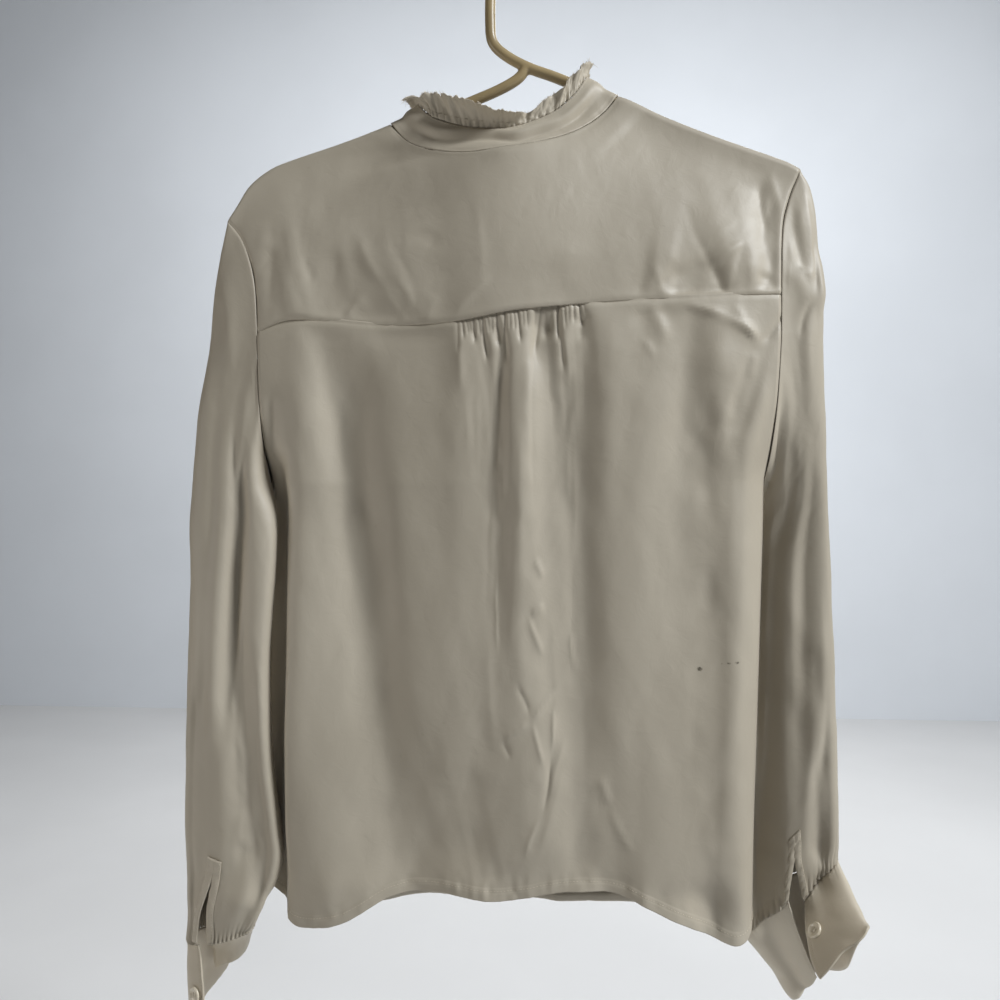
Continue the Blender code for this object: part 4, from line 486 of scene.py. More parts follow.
SLEEVE_RIGHT_CREASES = rows(Ruck, (
    (215, -232, 212, -290, 0, 2, 2.2, -2.6), (212, -285, 201, -322, 2, 2, 2.6, -2.4),
    (200, -265, 211, -271, 0, 1.6, 1.6, 1.5), (192, -679, 209, -363, 0, 7.7, 7, -3.5),
    (159, -701, 210, -702, 0, 16.8, 18.3, -3.9), (170, -699, 214, -701, -1, 8.2, 25.3, 4),
    (224, -699, 213, -523, -2, 4.9, 5, 2.5), (180, -459, 200, -460, 2, 14.4, 37.1, 2.5),
    (197, -223, 213, -221, 4, 11.1, 29.3, 2.4), (160, -738, 203, -742, 1, 19, 9.9, -4),
    (209, -735, 231, -718, -1, 8, 24.6, 3.7), (202, -715, 223, -524, 2, 5.8, 4.8, 2.4),
    (162, -648, 206, -649, 2, 29.7, 32.9, -2.2), (213, -331, 186, -227, 5, 4.6, 5.5, 2.3),
    (180, -664, 187, -495, 0, 4, 4, 2), (214, -657, 221, -478, 2, 9.6, 4.8, 2.4),
    (158, -588, 185, -588, 2, 35.8, 15.1, -2), (217, -742, 199, -692, -1, 4.9, 4.9, -2.4),
    (194, -407, 171, -406, -1, 8.8, 39.4, -2.1), (189, -619, 197, -450, 0, 4, 28.7, -2),
    (181, -562, 192, -441, 0, 3.7, 3.8, 1.8), (175, -593, 179, -421, 3, 2.5, 2.5, -1.2),
    (213, -652, 218, -556, 4, 3.9, 3.8, 1.9), (228, -711, 224, -635, -4, 3.9, 4.3, 2),
    (196, -398, 226, -223, -4, 5.4, 5.4, 2.7), (181, -500, 187, -429, -3, 5, 4.9, -2.5),
    (176, -763, 183, -704, 0, 4.7, 4.9, 2.4), (213, -303, 187, -265, 9, 5, 14.4, 2.5),
    (213, -763, 195, -703, 0, 3.6, 3.6, 1.8), (177, -676, 181, -568, 2, 3.2, 2.4, 1.2),
    (167, -495, 185, -496, 0, 6.6, 35.3, -1.1), (173, -433, 177, -384, 4, 4.1, 4.1, -2),
    (170, -455, 193, -357, -2, 3.3, 3.3, -1.6), (158, -482, 186, -368, 3, 3.4, 3.2, -1.6),
))
SLEEVE_HIDDEN_CREASES = rows(Ruck, (
    (-240, -280, -226, -380, 3, 3.6, 7.9, 2.2), (-220, -420, -238, -520, 3, 8.8, 4, -2),
    (-250, -560, -236, -660, 4, 3.6, 7.9, 2), (-216, -640, -232, -720, 3, 6.6, 3, 2),
    (204, -260, 196, -360, 3, 3.6, 7.9, 2.2), (190, -420, 206, -530, 3, 8.8, 4, -2),
    (214, -540, 202, -640, 4, 3.6, 7.9, 2), (180, -600, 194, -690, 3, 6.6, 3, 2),
))

# A small dark stain: its place, its radius, how much it is stretched sideways, and its strength.
Stain = namedtuple("Stain", "x y z radius squash strength")
STAINS = rows(Stain, (
    (126, -24, -562.5, 2.4, 1, 0.95), (142, -20, -558.5, 2, 2.6, 0.6),
    (147, -20, -558, 2.7, 2.6, 0.8), (153, -20, -557.5, 3, 2.2, 0.9),
))


# ---------- small maths

def mix(low, high, share):
    return low + (high - low) * share


def ease(start, end, at):
    """0 before start, 1 past end, and a smooth step between them."""
    share = np.clip((at - start) / (end - start), 0.0, 1.0)
    return share * share * (3.0 - 2.0 * share)


def points(x, y, z):
    return np.stack(np.broadcast_arrays(x, y, z), axis=-1).astype(float)


def unit(vectors):
    return vectors / np.maximum(np.linalg.norm(vectors, axis=-1, keepdims=True), 1e-9)


def smooth_curve(table, key, column):
    """A function that runs smoothly through one column of a table, read against another."""
    pairs = sorted((getattr(row, key), getattr(row, column)) for row in table)
    places = np.array([place for place, _ in pairs], float)
    values = np.array([value for _, value in pairs], float)
    low = np.maximum(np.arange(len(pairs)) - 1, 0)
    high = np.minimum(np.arange(len(pairs)) + 1, len(pairs) - 1)
    slopes = (values[high] - values[low]) / (places[high] - places[low])

    def curve(at):
        at = np.clip(at, places[0], places[-1])
        index = np.clip(np.searchsorted(places, at, side="right") - 1, 0, len(places) - 2)
        span = places[index + 1] - places[index]
        t = (at - places[index]) / span
        return ((2 * t ** 3 - 3 * t ** 2 + 1) * values[index]
                + (t ** 3 - 2 * t ** 2 + t) * span * slopes[index]
                + (3 * t ** 2 - 2 * t ** 3) * values[index + 1]
                + (t ** 3 - t ** 2) * span * slopes[index + 1])

    return curve


def smooth_curves(table, key, columns):
    return [smooth_curve(table, key, column) for column in columns.split()]


LATTICE_SIZE = 64
LATTICE = np.random.RandomState(11).uniform(-1.0, 1.0, (LATTICE_SIZE, LATTICE_SIZE))


def rumple(across, down, wide, tall, shift=0.0):
    """Smooth uneven waves between -1 and 1, of a size across and down in millimetres."""
    x = across / wide + 7.31 * shift
    y = down / tall + 3.17 * shift
    column, row = np.floor(x).astype(int), np.floor(y).astype(int)
    s, t = ease(0.0, 1.0, x - column), ease(0.0, 1.0, y - row)

    def corner(right, below):
        return LATTICE[(column + right) % LATTICE_SIZE, (row + below) % LATTICE_SIZE]

    return mix(mix(corner(0, 0), corner(1, 0), s), mix(corner(0, 1), corner(1, 1), s), t)


def creases(table, across, down, taper=0.35, sway=0.6):
    """The height of a table's creases, wandering a little as pressed cloth does."""
    wander = sway * rumple(across, down, 13.0, 13.0, 2.0)
    across, down = across + wander, down + 0.7 * wander
    height = np.zeros(np.shape(across))
    for ruck in table:
        run_x, run_z = ruck.x1 - ruck.x0, ruck.z1 - ruck.z0
        length = math.hypot(run_x, run_z)
        share = ((across - ruck.x0) * run_x + (down - ruck.z0) * run_z) / length ** 2
        share = np.clip(share, 0.0, 1.0)
        aside = ((across - ruck.x0) * run_z - (down - ruck.z0) * run_x) / length
        aside = aside - ruck.bow * 4.0 * share * (1.0 - share)
        tip = min(ruck.left, ruck.right)
        tip *= BROAD_TIP if tip >= BROAD else SHARP_TIP
        flank = np.where(aside < 0.0, ruck.left, ruck.right)
        form = np.exp(-(np.sqrt(aside ** 2 + tip ** 2) - tip) / flank)
        height += ruck.height * form * ease(taper - 0.35, taper, share) * ease(1.0, 0.65, share)
    return height


shoulder_z, neck_back_z, neck_front_z, yoke_seam_z, hem_back_z, hem_front_z = (
    smooth_curve(table, "x", "z")
    for table in (SHOULDER, NECK_BACK, NECK_FRONT, YOKE_SEAM, HEM_BACK, HEM_FRONT))
forward_left_z = smooth_curve(FORWARD_LEFT, "x", "z")
forward_right_z = smooth_curve(FORWARD_RIGHT, "x", "z")
armhole_left_x, armhole_right_x = smooth_curves(ARMHOLE, "z", "left right")
side_left_x, side_right_x, side_left_y, side_right_y = smooth_curves(
    SIDE_SEAMS, "z", "left right left_y right_y")
left_outline_x = smooth_curve(RINGS_LEFT, "z", "outer")
right_outline_x = smooth_curve(RINGS_RIGHT, "z", "outer")
frill_height, frill_curl, frill_wave = smooth_curves(FRILL, "turn", "height curl wave")
collar_top_y, collar_top_z = smooth_curves(COLLAR_TOP, "turn", "y z")


# ---------- the body's form

def body_left_x(z):
    return np.where(z > UNDERARM_Z, armhole_left_x(z), side_left_x(z))


def body_right_x(z):
    return np.where(z > UNDERARM_Z, armhole_right_x(z), side_right_x(z))


def fold_depth(folds, x, z):
    drop = yoke_seam_z(x) - z
    length = yoke_seam_z(x) - hem_back_z(x)
    depth = np.zeros(np.shape(x))
    for fold in folds:
        path = mix(fold.top, fold.hem, drop / length)
        reach = ease(fold.start, fold.start + FOLD_START_REACH, drop)
        reach = reach * ease(fold.end, fold.end - FOLD_END_REACH, drop)
        depth = depth + fold.depth * reach * np.exp(-((x - path) / fold.width) ** 2)
    return depth


def body_y(x, z, face):
    """The cloth's middle surface, back or front, at a place across and down the body."""
    drop = np.maximum(shoulder_z(x) - z, 0.0)
    closing = ease(CLOSING_Z, UNDERARM_Z, z)
    left = mix(left_outline_x(z), side_left_x(z), closing)
    right = mix(right_outline_x(z), side_right_x(z), closing)
    across = (2.0 * x - left - right) / (right - left)
    arch = np.sqrt(np.maximum(1.0 - across ** 4, 0.0))

    near = np.minimum(drop, RIDGE_RADIUS)
    ridge = np.sqrt(near * (2.0 * RIDGE_RADIUS - near))
    below = drop - near
    spread = BACK_SPREAD if face == BACK else FRONT_SPREAD
    depth = spread * below ** 2 / (below ** 2 + SPREAD_DROP ** 2)
    neck = np.exp(-((x - NECK_X) / NECK_SPREAD_HALF) ** 2)
    neck = neck * ease(0.0, NECK_SPREAD_FULL, below) * ease(NECK_SPREAD_END, NECK_SPREAD_FADE, below)
    depth = depth + NECK_SPREAD * neck

    for press in PRESSED:
        if press.face == face:
            pressed = ease(press.from_x, press.to_x, x) * ease(press.from_z, press.to_z, z)
            arch = arch * (1.0 - press.share * pressed)
    outward = ridge * mix(1.0, arch, ease(ARCH_Z, CLOSING_Z, z)) + depth * arch
    folds = BACK_FOLDS if face == BACK else FRONT_FOLDS
    outward = outward - fold_depth(folds, x, z) * np.minimum(arch * FOLD_EDGE_SHARE, 1.0)
    outward = outward + 0.5 * SIDE_SEAM_GAP * closing
    middle = mix(side_left_y(z), side_right_y(z), (across + 1.0) / 2.0)
    return middle + face * outward


def panel_form(face, top, bottom, left, right):
    """A panel by share across and share down. left and right hold an edge's X by Z, and its ends."""
    left_x, left_top, left_bottom = left
    right_x, right_top, right_bottom = right

    def form(u, v):
        high = top(mix(left_top, right_top, u))
        low = bottom(mix(left_bottom, right_bottom, u))
        from_x = left_x(mix(top(left_top), bottom(left_bottom), v))
        to_x = right_x(mix(top(right_top), bottom(right_bottom), v))
        x, z = mix(from_x, to_x, u), mix(high, low, v)
        return points(x, body_y(x, z, face), z)

    return form


def yoke_top_z(x):
    return np.where((x > NECK_LEFT_X) & (x < NECK_RIGHT_X), neck_back_z(x), shoulder_z(x))


def yoke_form(u, v):
    """The yoke: v runs from -1 at the forward shoulder seams, over the ridge, to 1 at its back seam."""
    x_top = mix(TIP_LEFT_X, TIP_RIGHT_X, u)
    high = yoke_top_z(x_top)
    low = yoke_seam_z(mix(SEAM_LEFT_X, SEAM_RIGHT_X, u)) + SEAM_GAP / 2
    down = np.maximum(v, 0.0)
    left = armhole_left_x(mix(TIP_LEFT_Z, yoke_seam_z(SEAM_LEFT_X), down))
    right = armhole_right_x(mix(TIP_RIGHT_Z, yoke_seam_z(SEAM_RIGHT_X), down))
    x, z = mix(left, right, u), mix(high, low, down)
    back = points(x, body_y(x, z, BACK), z)

    forward = np.maximum(-v, 0.0)
    on_left = x_top < NECK_X
    neck = np.where(on_left, NECK_LEFT_X, NECK_RIGHT_X)
    strap = np.where(on_left, STRAP_LEFT_X, STRAP_RIGHT_X)
    tip = np.where(on_left, TIP_LEFT_X, TIP_RIGHT_X)
    end_x = np.where(on_left, FRONT_SEAM_LEFT_X, FRONT_SEAM_RIGHT_X)
    inward = np.clip((x_top - tip) / (neck - tip), 0.0, 1.0)
    seam_x = mix(end_x, strap, inward)
    low = np.where(on_left, forward_left_z(seam_x), forward_right_z(seam_x)) + SHOULDER_SEAM_GAP / 2
    end_z = np.where(on_left, mix(TIP_LEFT_Z, forward_left_z(FRONT_SEAM_LEFT_X), forward),
                     mix(TIP_RIGHT_Z, forward_right_z(FRONT_SEAM_RIGHT_X), forward))
    armhole = np.where(on_left, armhole_left_x(end_z), armhole_right_x(end_z))
    x = mix(armhole, mix(neck, strap, forward ** 1.5), inward)
    z = mix(high, low, forward)
    front = points(x, body_y(x, z, FRONT), z)
    return np.where((v < 0.0)[..., None], front, back)


def front_top_z(x):
    """The top line of the fronts: the forward shoulder seams and the neckline."""
    seam = np.where(x < NECK_X, forward_left_z(x), forward_right_z(x)) - SHOULDER_SEAM_GAP / 2
    return np.where((x > STRAP_LEFT_X) & (x < STRAP_RIGHT_X), neck_front_z(x), seam)


def centre_x(z):
    return mix(CENTRE_TOP_X, CENTRE_HEM_X, ease(NECK_FRONT_LOW_Z, HEM_FRONT_LOW_Z, z))


def band_form(u, v):
    """The button band, on the fronts and moved out from them."""
    z = mix(front_top_z(np.float64(CENTRE_TOP_X)) - 1.0, hem_front_z(CENTRE_HEM_X), v)
    x = centre_x(z) + (u - 0.5) * BAND_WIDTH
    return points(x, body_y(x, z, FRONT) + BAND_LIFT, z)


# ---------- sleeves and cuffs

class SleeveForm:
    """One sleeve: share u around from its slit and share v down, from armhole to cuff."""

    def __init__(self, sleeve):
        self.sleeve = sleeve
        self.curves = smooth_curves(sleeve.rings, "z", "outer inner outer_y inner_y half")
        self.armhole_x = armhole_left_x if sleeve.side < 0 else armhole_right_x
        self.fall = smooth_curves(sleeve.fall, "around",
                                  "upper_x upper_y upper_z lower_x lower_y lower_z")

    def ring(self, around, z):
        outer, inner, outer_y, inner_y, half = (curve(z) for curve in self.curves)
        turn = ROUND * around
        along = (1.0 - np.cos(turn)) / 2.0
        side = np.where(np.sin(turn) >= 0.0, 1.0, -1.0)
        depth = side * np.abs(np.sin(turn)) ** RING_FLATNESS * half
        for crease in self.sleeve.creases:
            path = mix(crease.top, crease.bottom, ease(crease.start, crease.end, z))
            reach = ease(crease.start, crease.start - CREASE_START_REACH, z)
            reach = reach * ease(crease.end, crease.end + CREASE_END_REACH, z)
            inward = crease.depth * reach * np.exp(-((around % 1.0 - path) / crease.width) ** 2)
            depth = depth - side * inward
        return mix(outer, inner, along), mix(outer_y, inner_y, along) - depth

    def tube(self, around, v):
        sleeve = self.sleeve
        turn = ROUND * around
        along = (1.0 - np.cos(turn)) / 2.0
        sine = np.sin(turn)
        side = np.where(sine >= 0.0, 1.0, -1.0)
        start_z = mix(sleeve.tip_z, UNDERARM_Z, along)
        start_x = self.armhole_x(start_z)
        start_y = np.where(side > 0.0, body_y(start_x, start_z, BACK), body_y(start_x, start_z, FRONT))
        beside = np.abs(around % 1.0 - 0.5)
        start_y = mix(start_y, sleeve.underarm_y, ease(UNDERARM_MEET, 0.0, beside))
        rounding = ease(UNDERARM_FAR, UNDERARM_NEAR, beside)
        rounding = UNDERARM_ROUND * np.abs(sine) ** 0.35 * rounding
        start_y = start_y - side * rounding
        start_x = start_x + sleeve.side * mix(ARMHOLE_OUT_TIP, ARMHOLE_OUT_UNDERARM, along)
        start_z = start_z + mix(ARMHOLE_UP_TIP, ARMHOLE_UP_UNDERARM, along)
        end_z = mix(sleeve.outer_seam_z, sleeve.inner_seam_z, along) - sleeve.seam_tilt * sine
        z = mix(start_z, end_z, v)
        settle = SETTLE_AT_FOLDS + SETTLE_AT_FACES * sine ** 2
        share = 1.0 - np.exp(-(start_z - z) / settle)
        x, y = self.ring(around, z)
        return points(mix(start_x, x, share), mix(start_y, y, share), z)

    def around(self, u, z):
        sleeve = self.sleeve
        share = ease(sleeve.slit_top_z + SLIT_SWING_RISE, sleeve.inner_seam_z - SLIT_SWING_DROP, z)
        return mix(sleeve.slit_around, sleeve.slit_seam_around, share) + u

    def cloth(self, u, v):
        sleeve = self.sleeve
        z = self.tube(sleeve.slit_around + u, v)[..., 2]
        place = self.tube(self.around(u, z), v)
        depth = ease(sleeve.open_from_z, sleeve.open_to_z, z) * sleeve.open_half
        pull = np.exp(-u / SLIT_PULL_SPAN) - np.exp(-(1.0 - u) / SLIT_PULL_SPAN)
        place[..., 0] -= sleeve.side * depth * pull
        return place

    def cuff(self, u, v):
        start = self.cloth(u, np.ones(np.shape(u)))
        upper = unit(points(*(curve(u) for curve in self.fall[:3])))
        lower = unit(points(*(curve(u) for curve in self.fall[3:])))
        down = (CUFF_HEIGHT * v)[..., None]
        bend = (CUFF_HEIGHT * v * v / 2.0)[..., None]
        return start + upper * (CUFF_SEAM_GAP + down - bend) + lower * bend


# ---------- collar and ruffle

def neck_seam(turn):
    """The neck seam: turn 0 at the left shoulder, 0.25 back, 0.5 right shoulder, 0.75 front."""
    angle = ROUND * turn
    middle, half = (NECK_LEFT_X + NECK_RIGHT_X) / 2, (NECK_RIGHT_X - NECK_LEFT_X) / 2
    x = middle - half * np.cos(angle)
    back = points(x, body_y(x, neck_back_z(x), BACK), neck_back_z(x))
    front = points(x, body_y(x, neck_front_z(x), FRONT), neck_front_z(x))
    return np.where((np.sin(angle) >= 0.0)[..., None], back, front)


def collar_edge(turn):
    """The band's upper edge, around the neck as neck_seam runs."""
    x = COLLAR_TOP_X - COLLAR_TOP_HALF * np.cos(ROUND * turn)
    return points(x, collar_top_y(turn), collar_top_z(turn))


def collar_form(u, v):
    """The band collar: u once around from the middle of the front, v from its top edge down."""
    turn = (FRONT_TURN + mix(0.0015, 0.9985, u)) % 1.0
    base, edge = neck_seam(turn), collar_edge(turn)
    shoulder = np.abs(np.cos(ROUND * turn)) ** COLLAR_SHOULDER_POWER
    gap = (COLLAR_SEAM_GAP + COLLAR_SHOULDER_LIFT * shoulder)[..., None]
    return mix(base + unit(edge - base) * gap, edge, (1.0 - v)[..., None])


def ruffle_form(u, v):
    """The ruffle on the collar's edge: v runs from its raw edge down to its seam, and on inside."""
    turn = (FRONT_TURN + mix(0.004, 0.996, u)) % 1.0
    angle, flat = ROUND * turn, 0.0 * u
    up = 1.0 - v
    above = np.maximum(up, 0.0)
    along, edge = u * 100.0, u * RUFFLE_AROUND
    drift = u + 0.010 * rumple(along, flat, 4.0, 1.0, 3.0) + 0.004 * rumple(along, up, 1.7, 0.6, 4.0)
    flop = np.sin(ROUND * RUFFLE_WAVES * drift)
    flop = flop + 0.5 * np.sin(ROUND * 1.63 * RUFFLE_WAVES * drift + 1.0)
    wave = flop * frill_wave(turn) * above ** 1.2 * (1.0 + 0.6 * rumple(along, up, 5.0, 4.0, 6.0))
    root = np.sin(ROUND * RUFFLE_GATHERS * drift)
    root = root * (1.0 + 0.8 * rumple(along, flat, 1.3, 1.0, 9.0))
    length = 0.22 + 0.16 * rumple(along, flat, 1.1, 1.0, 2.0)
    wave = wave + 0.55 * root * np.exp(-above / length)
    ragged = 1.0 + 0.05 * rumple(edge, flat, 1.3, 1.0, 7.0) + 0.05 * rumple(edge, flat, 5.0, 1.0, 8.0)
    height = frill_height(turn) * ragged
    curl = np.maximum(frill_curl(turn), 0.05)
    rise = height * np.sin(curl * above) / curl
    fall = height * (1.0 - np.cos(curl * above)) / curl
    out = points(-np.cos(angle), -np.sin(angle), 0.0)
    tuck = RUFFLE_TUCK * ease(0.10, -0.04, up)
    place = collar_edge(turn) + out * (wave + fall - tuck)[..., None]
    place[..., 2] += rise + np.minimum(up, 0.0) * RUFFLE_TUCK_LENGTH
    return place


# ---------- cloth

class Skin:
    """A finished sheet: its form, moved by the cloth's own relief, in millimetres.

    way gives the directions in which the relief stands. Without way, it stands outward from the form.
    """

    def __init__(self, form, relief, outward=1.0, length=0.0, way=None):
        self.form, self.relief, self.outward = form, relief, outward
        self.length, self.way = length, way

    def normal(self, u, v, step=0.0015):
        along = self.form(u + step, v) - self.form(u - step, v)
        down = self.form(u, v + step) - self.form(u, v - step)
        return unit(np.cross(down, along)) * self.outward

    def place(self, u, v, lift=0.0):
        """Points of the finished sheet. Past 1, v runs back up the turned-up inside of a hem."""
        past = np.maximum(v - 1.0, 0.0)
        v = v - 2.0 * past
        base, normal = self.form(u, v), self.normal(u, v)
        way = normal if self.way is None else self.way(u, v, base)
        lift = lift - HEM_TURN * ease(0.0, HEM_TURN_REACH, past * self.length)
        return base + way * self.relief(u, v, base)[..., None] + normal * lift[..., None]


finishes = {}  # materials by their use


def mesh_of(name, bm):
    mesh = bpy.data.meshes.new(name)
    bm.to_mesh(mesh)
    bm.free()
    return mesh


def add_piece(name, mesh, material, replaces=()):
    mesh.materials.append(material)
    piece = bpy.data.objects.new(name, mesh)
    bpy.context.scene.collection.objects.link(piece)
    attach(piece, BODY)
    if replaces:
        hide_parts(*replaces)
    return piece


def lay_cloth(name, skin, columns, downs, cut, wall, material, cut_out=None, weld=False):
    """A sheet of cloth over a skin, in place of the solid of that name.

    It has points at the shares columns and downs, and a UV map in metres of the flat cut.
    """
    columns, downs = np.asarray(columns, float), np.asarray(downs, float)
    bm = bmesh.new()
    bmesh.ops.create_grid(bm, x_segments=len(columns) - 1, y_segments=len(downs) - 1, size=0.5)
    if cut_out:
        spare = []
        for face in bm.faces:
            middle = face.calc_center_median()
            across = int((middle.x + 0.5) * (len(columns) - 1))
            down = int((0.5 - middle.y) * (len(downs) - 1))
            if cut_out(columns[across], columns[across + 1], downs[down], downs[down + 1]):
                spare.append(face)
        bmesh.ops.delete(bm, geom=spare, context="FACES")
    mesh = mesh_of(name + "_cloth", bm)

    flat = np.empty(len(mesh.vertices) * 3)
    mesh.vertices.foreach_get("co", flat)
    flat = flat.reshape(-1, 3)
    u = columns[np.rint((flat[:, 0] + 0.5) * (len(columns) - 1)).astype(int)]
    v = downs[np.rint((0.5 - flat[:, 1]) * (len(downs) - 1)).astype(int)]
    mesh.vertices.foreach_set("co", (skin.place(u, v) * MM).ravel())

    corners = np.empty(len(mesh.loops), int)
    mesh.loops.foreach_get("vertex_index", corners)
    layer = mesh.uv_layers.new(name="cut")
    layer.data.foreach_set("uv", np.stack((u * cut[0], -v * cut[1]), -1)[corners].ravel())
    if weld:
        bm = bmesh.new()
        bm.from_mesh(mesh)
        bmesh.ops.remove_doubles(bm, verts=bm.verts, dist=WELD * MM)
        bm.to_mesh(mesh)
        bm.free()
    if skin.outward < 0.0:
        mesh.flip_normals()
    mesh.shade_smooth()
    piece = add_piece(name + "_cloth", mesh, material, (name,))
    solidify = piece.modifiers.new("wall", "SOLIDIFY")
    solidify.thickness = wall * MM
    solidify.offset = 0.0
    return piece


def even(start, end, pitch):
    """Shares from start to end, about a pitch apart, both ends in."""
    count = max(int(round(abs(end - start) / pitch)), 1)
    return np.linspace(start, end, count + 1)


def shares(*stretches):
    """One rising list of shares from several stretches that meet."""
    return np.unique(np.round(np.concatenate(stretches), 7))


# ---------- sewing

def sew(name, skin, lift, *lines):
    """Lines of short stitches on a skin. A line is two lists of shares that it runs through."""
    bm = bmesh.new()
    looks = bpy.context.scene.blouse_sewing
    pitch, length, radius = (size * MM for size in (looks.stitch_pitch, looks.stitch_length,
                                                    looks.thread_radius))
    for u, v in lines:
        line = skin.place(u, v, lift) * MM
        outward = skin.normal(u, v)
        lengths = np.concatenate(([0.0], np.cumsum(np.linalg.norm(np.diff(line, axis=0), axis=1))))
        for at in np.arange(pitch / 2, lengths[-1], pitch):
            index = min(int(np.searchsorted(lengths, at)), len(line) - 1)
            share = (at - lengths[index - 1]) / max(lengths[index] - lengths[index - 1], 1e-9)
            middle = Vector(mix(line[index - 1], line[index], share))
            along = Vector(line[index] - line[index - 1]).normalized()
            across = Vector(outward[index]).cross(along).normalized()
            turn = Matrix((along, across, along.cross(across))).transposed().to_4x4()
            shape = Matrix.Diagonal((length / 2, radius, radius, 1.0))
            bmesh.ops.create_uvsphere(bm, u_segments=6, v_segments=4, radius=1.0,
                                      matrix=Matrix.Translation(middle) @ turn @ shape)
    mesh = mesh_of(name + "_stitches", bm)
    mesh.shade_smooth()
    return add_piece(name + "_stitches", mesh, finishes["thread"])


def run_down(u, start, end, count=160):
    """A line down a piece at one share across it."""
    return np.full(count, float(u)), np.linspace(start, end, count)


def run_across(v, start=0.0, end=1.0, count=400):
    return np.linspace(start, end, count), np.full(count, float(v))


# ---------- reliefs

def seam_roll(away, reach=1.8, depth=0.9):
    """The cloth turning in at a seam, by the distance from it."""
    return -depth * np.exp(-(np.maximum(away, 0.0) / reach) ** 2)


def gathers(share, count, away, rise, short, long, shift):
    """Small gathers across a seam, each fading out at a length of its own."""
    index = share * count
    phase = ROUND * (index + 0.28 * rumple(index, 0.0 * index, 1.9, 1.0, shift))
    strength = 1.0 + 0.55 * rumple(index, 0.0 * index, 1.3, 1.0, shift + 1.0)
    length = mix(short, long, (0.5 + 0.5 * rumple(index, 0.0 * index, 1.1, 1.0, shift + 2.0)) ** 1.6)
    crest = np.cos(phase) + 0.25 * np.cos(2.0 * phase)
    return rise * strength * crest * np.exp(-(np.maximum(away, 0.0) / length) ** 1.3)


def soft_waves(across, down, amount, shift=0.0):
    """The easy unevenness of hung silk, long down the cloth and short across it."""
    return amount * (rumple(across, down, 26.0, 95.0, shift)
                     + 0.45 * rumple(across + 0.3 * down, down, 11.0, 38.0, shift + 1.0)
                     + 0.16 * rumple(across - 0.5 * down, down, 5.0, 14.0, shift + 2.0))


def hem_relief(rise, pucker):
    """The doubled hem stands proud of the cloth, puckered and drawn in along its stitches."""
    hem = ease(HEM_WIDTH + 1.0, HEM_WIDTH - 0.2, rise)
    stitched = np.exp(-((rise - HEM_STITCH) / 0.9) ** 2)
    drawn = np.exp(-((rise - HEM_WIDTH) / 7.0) ** 2)
    return hem * (0.8 + 0.35 * pucker) + drawn * 0.45 * pucker - 0.5 * stitched


def back_panel_relief(u, v, base):
    x, z = base[..., 0], base[..., 2]
    drop, rise = yoke_seam_z(x) - z, (1.0 - v) * PANEL_LENGTH
    calm = ease(-3.0, 14.0, drop)
    calm = calm * ease(0.0, 9.0, x - body_left_x(z)) * ease(0.0, 9.0, body_right_x(z) - x)
    height = calm * creases(BACK_CREASES, x, z) + soft_waves(x, z, 0.55, 1.0)
    height += creases(PUCKERS, x, z, 0.0, 0.4) + FINE_SHARE * creases(FINE_CREASES, x, z)
    height += seam_roll(drop, 1.3, 0.9)
    pucker = rumple(x, z, 4.2, 9.0, 9.0) + 0.6 * rumple(x, z, 9.0, 12.0, 10.0)
    height += hem_relief(rise, pucker)
    return height + 1.6 * np.exp(-rise / HEM_FLARE) * rumple(x, z, 17.0, 60.0, 12.0)


def yoke_relief(u, v, base):
    x, z = base[..., 0], base[..., 2]
    on_back = ease(-0.02, 0.06, v)
    to_seam, to_armhole = (1.0 - v) * YOKE_LENGTH, np.minimum(u, 1.0 - u) * YOKE_ACROSS
    calm = on_back * ease(-3.0, 7.0, to_seam) * ease(-1.0, 7.0, to_armhole)
    height = YOKE_SHARE * calm * creases(YOKE_CREASES, x, z)
    height += soft_waves(x, z, 0.4, 3.0) * ease(0.02, 0.2, np.abs(v))
    height += seam_roll(to_seam, 1.3, 0.7) + 0.35 * np.exp(-((to_seam - 3.5) / 2.5) ** 2)
    height += seam_roll(to_armhole, 1.2, 0.35)
    beside = ease(NECK_LEFT_X, NECK_LEFT_X + 8.0, x) * ease(NECK_RIGHT_X, NECK_RIGHT_X - 8.0, x)
    to_neck = neck_back_z(x) - z
    return height + on_back * beside * 0.5 * np.exp(-((to_neck - 1.3) / 0.8) ** 2)


def front_relief(u, v, base):
    x, z = base[..., 0], base[..., 2]
    calm = ease(0.5 * BAND_WIDTH, 0.5 * BAND_WIDTH + 26.0, np.abs(x - centre_x(z)))
    height = calm * (creases(FRONT_CREASES, x, z) + soft_waves(x, z, 0.7, 6.0))
    rise = (1.0 - v) * FRONT_LENGTH
    height += hem_relief(rise, rumple(x, z, 4.4, 9.0, 14.0))
    height += 1.2 * np.exp(-rise / HEM_FLARE) * rumple(x, z, 17.0, 60.0, 15.0)
    return height + seam_roll(v * FRONT_LENGTH, 1.6, 0.9)


def band_relief(u, v, base):
    z = base[..., 2]
    edge = np.minimum(u, 1.0 - u) * BAND_WIDTH
    return 0.25 * rumple(u * 26.0, z, 9.0, 22.0, 8.0) - 0.35 * np.exp(-((edge - 3.0) / 0.9) ** 2)


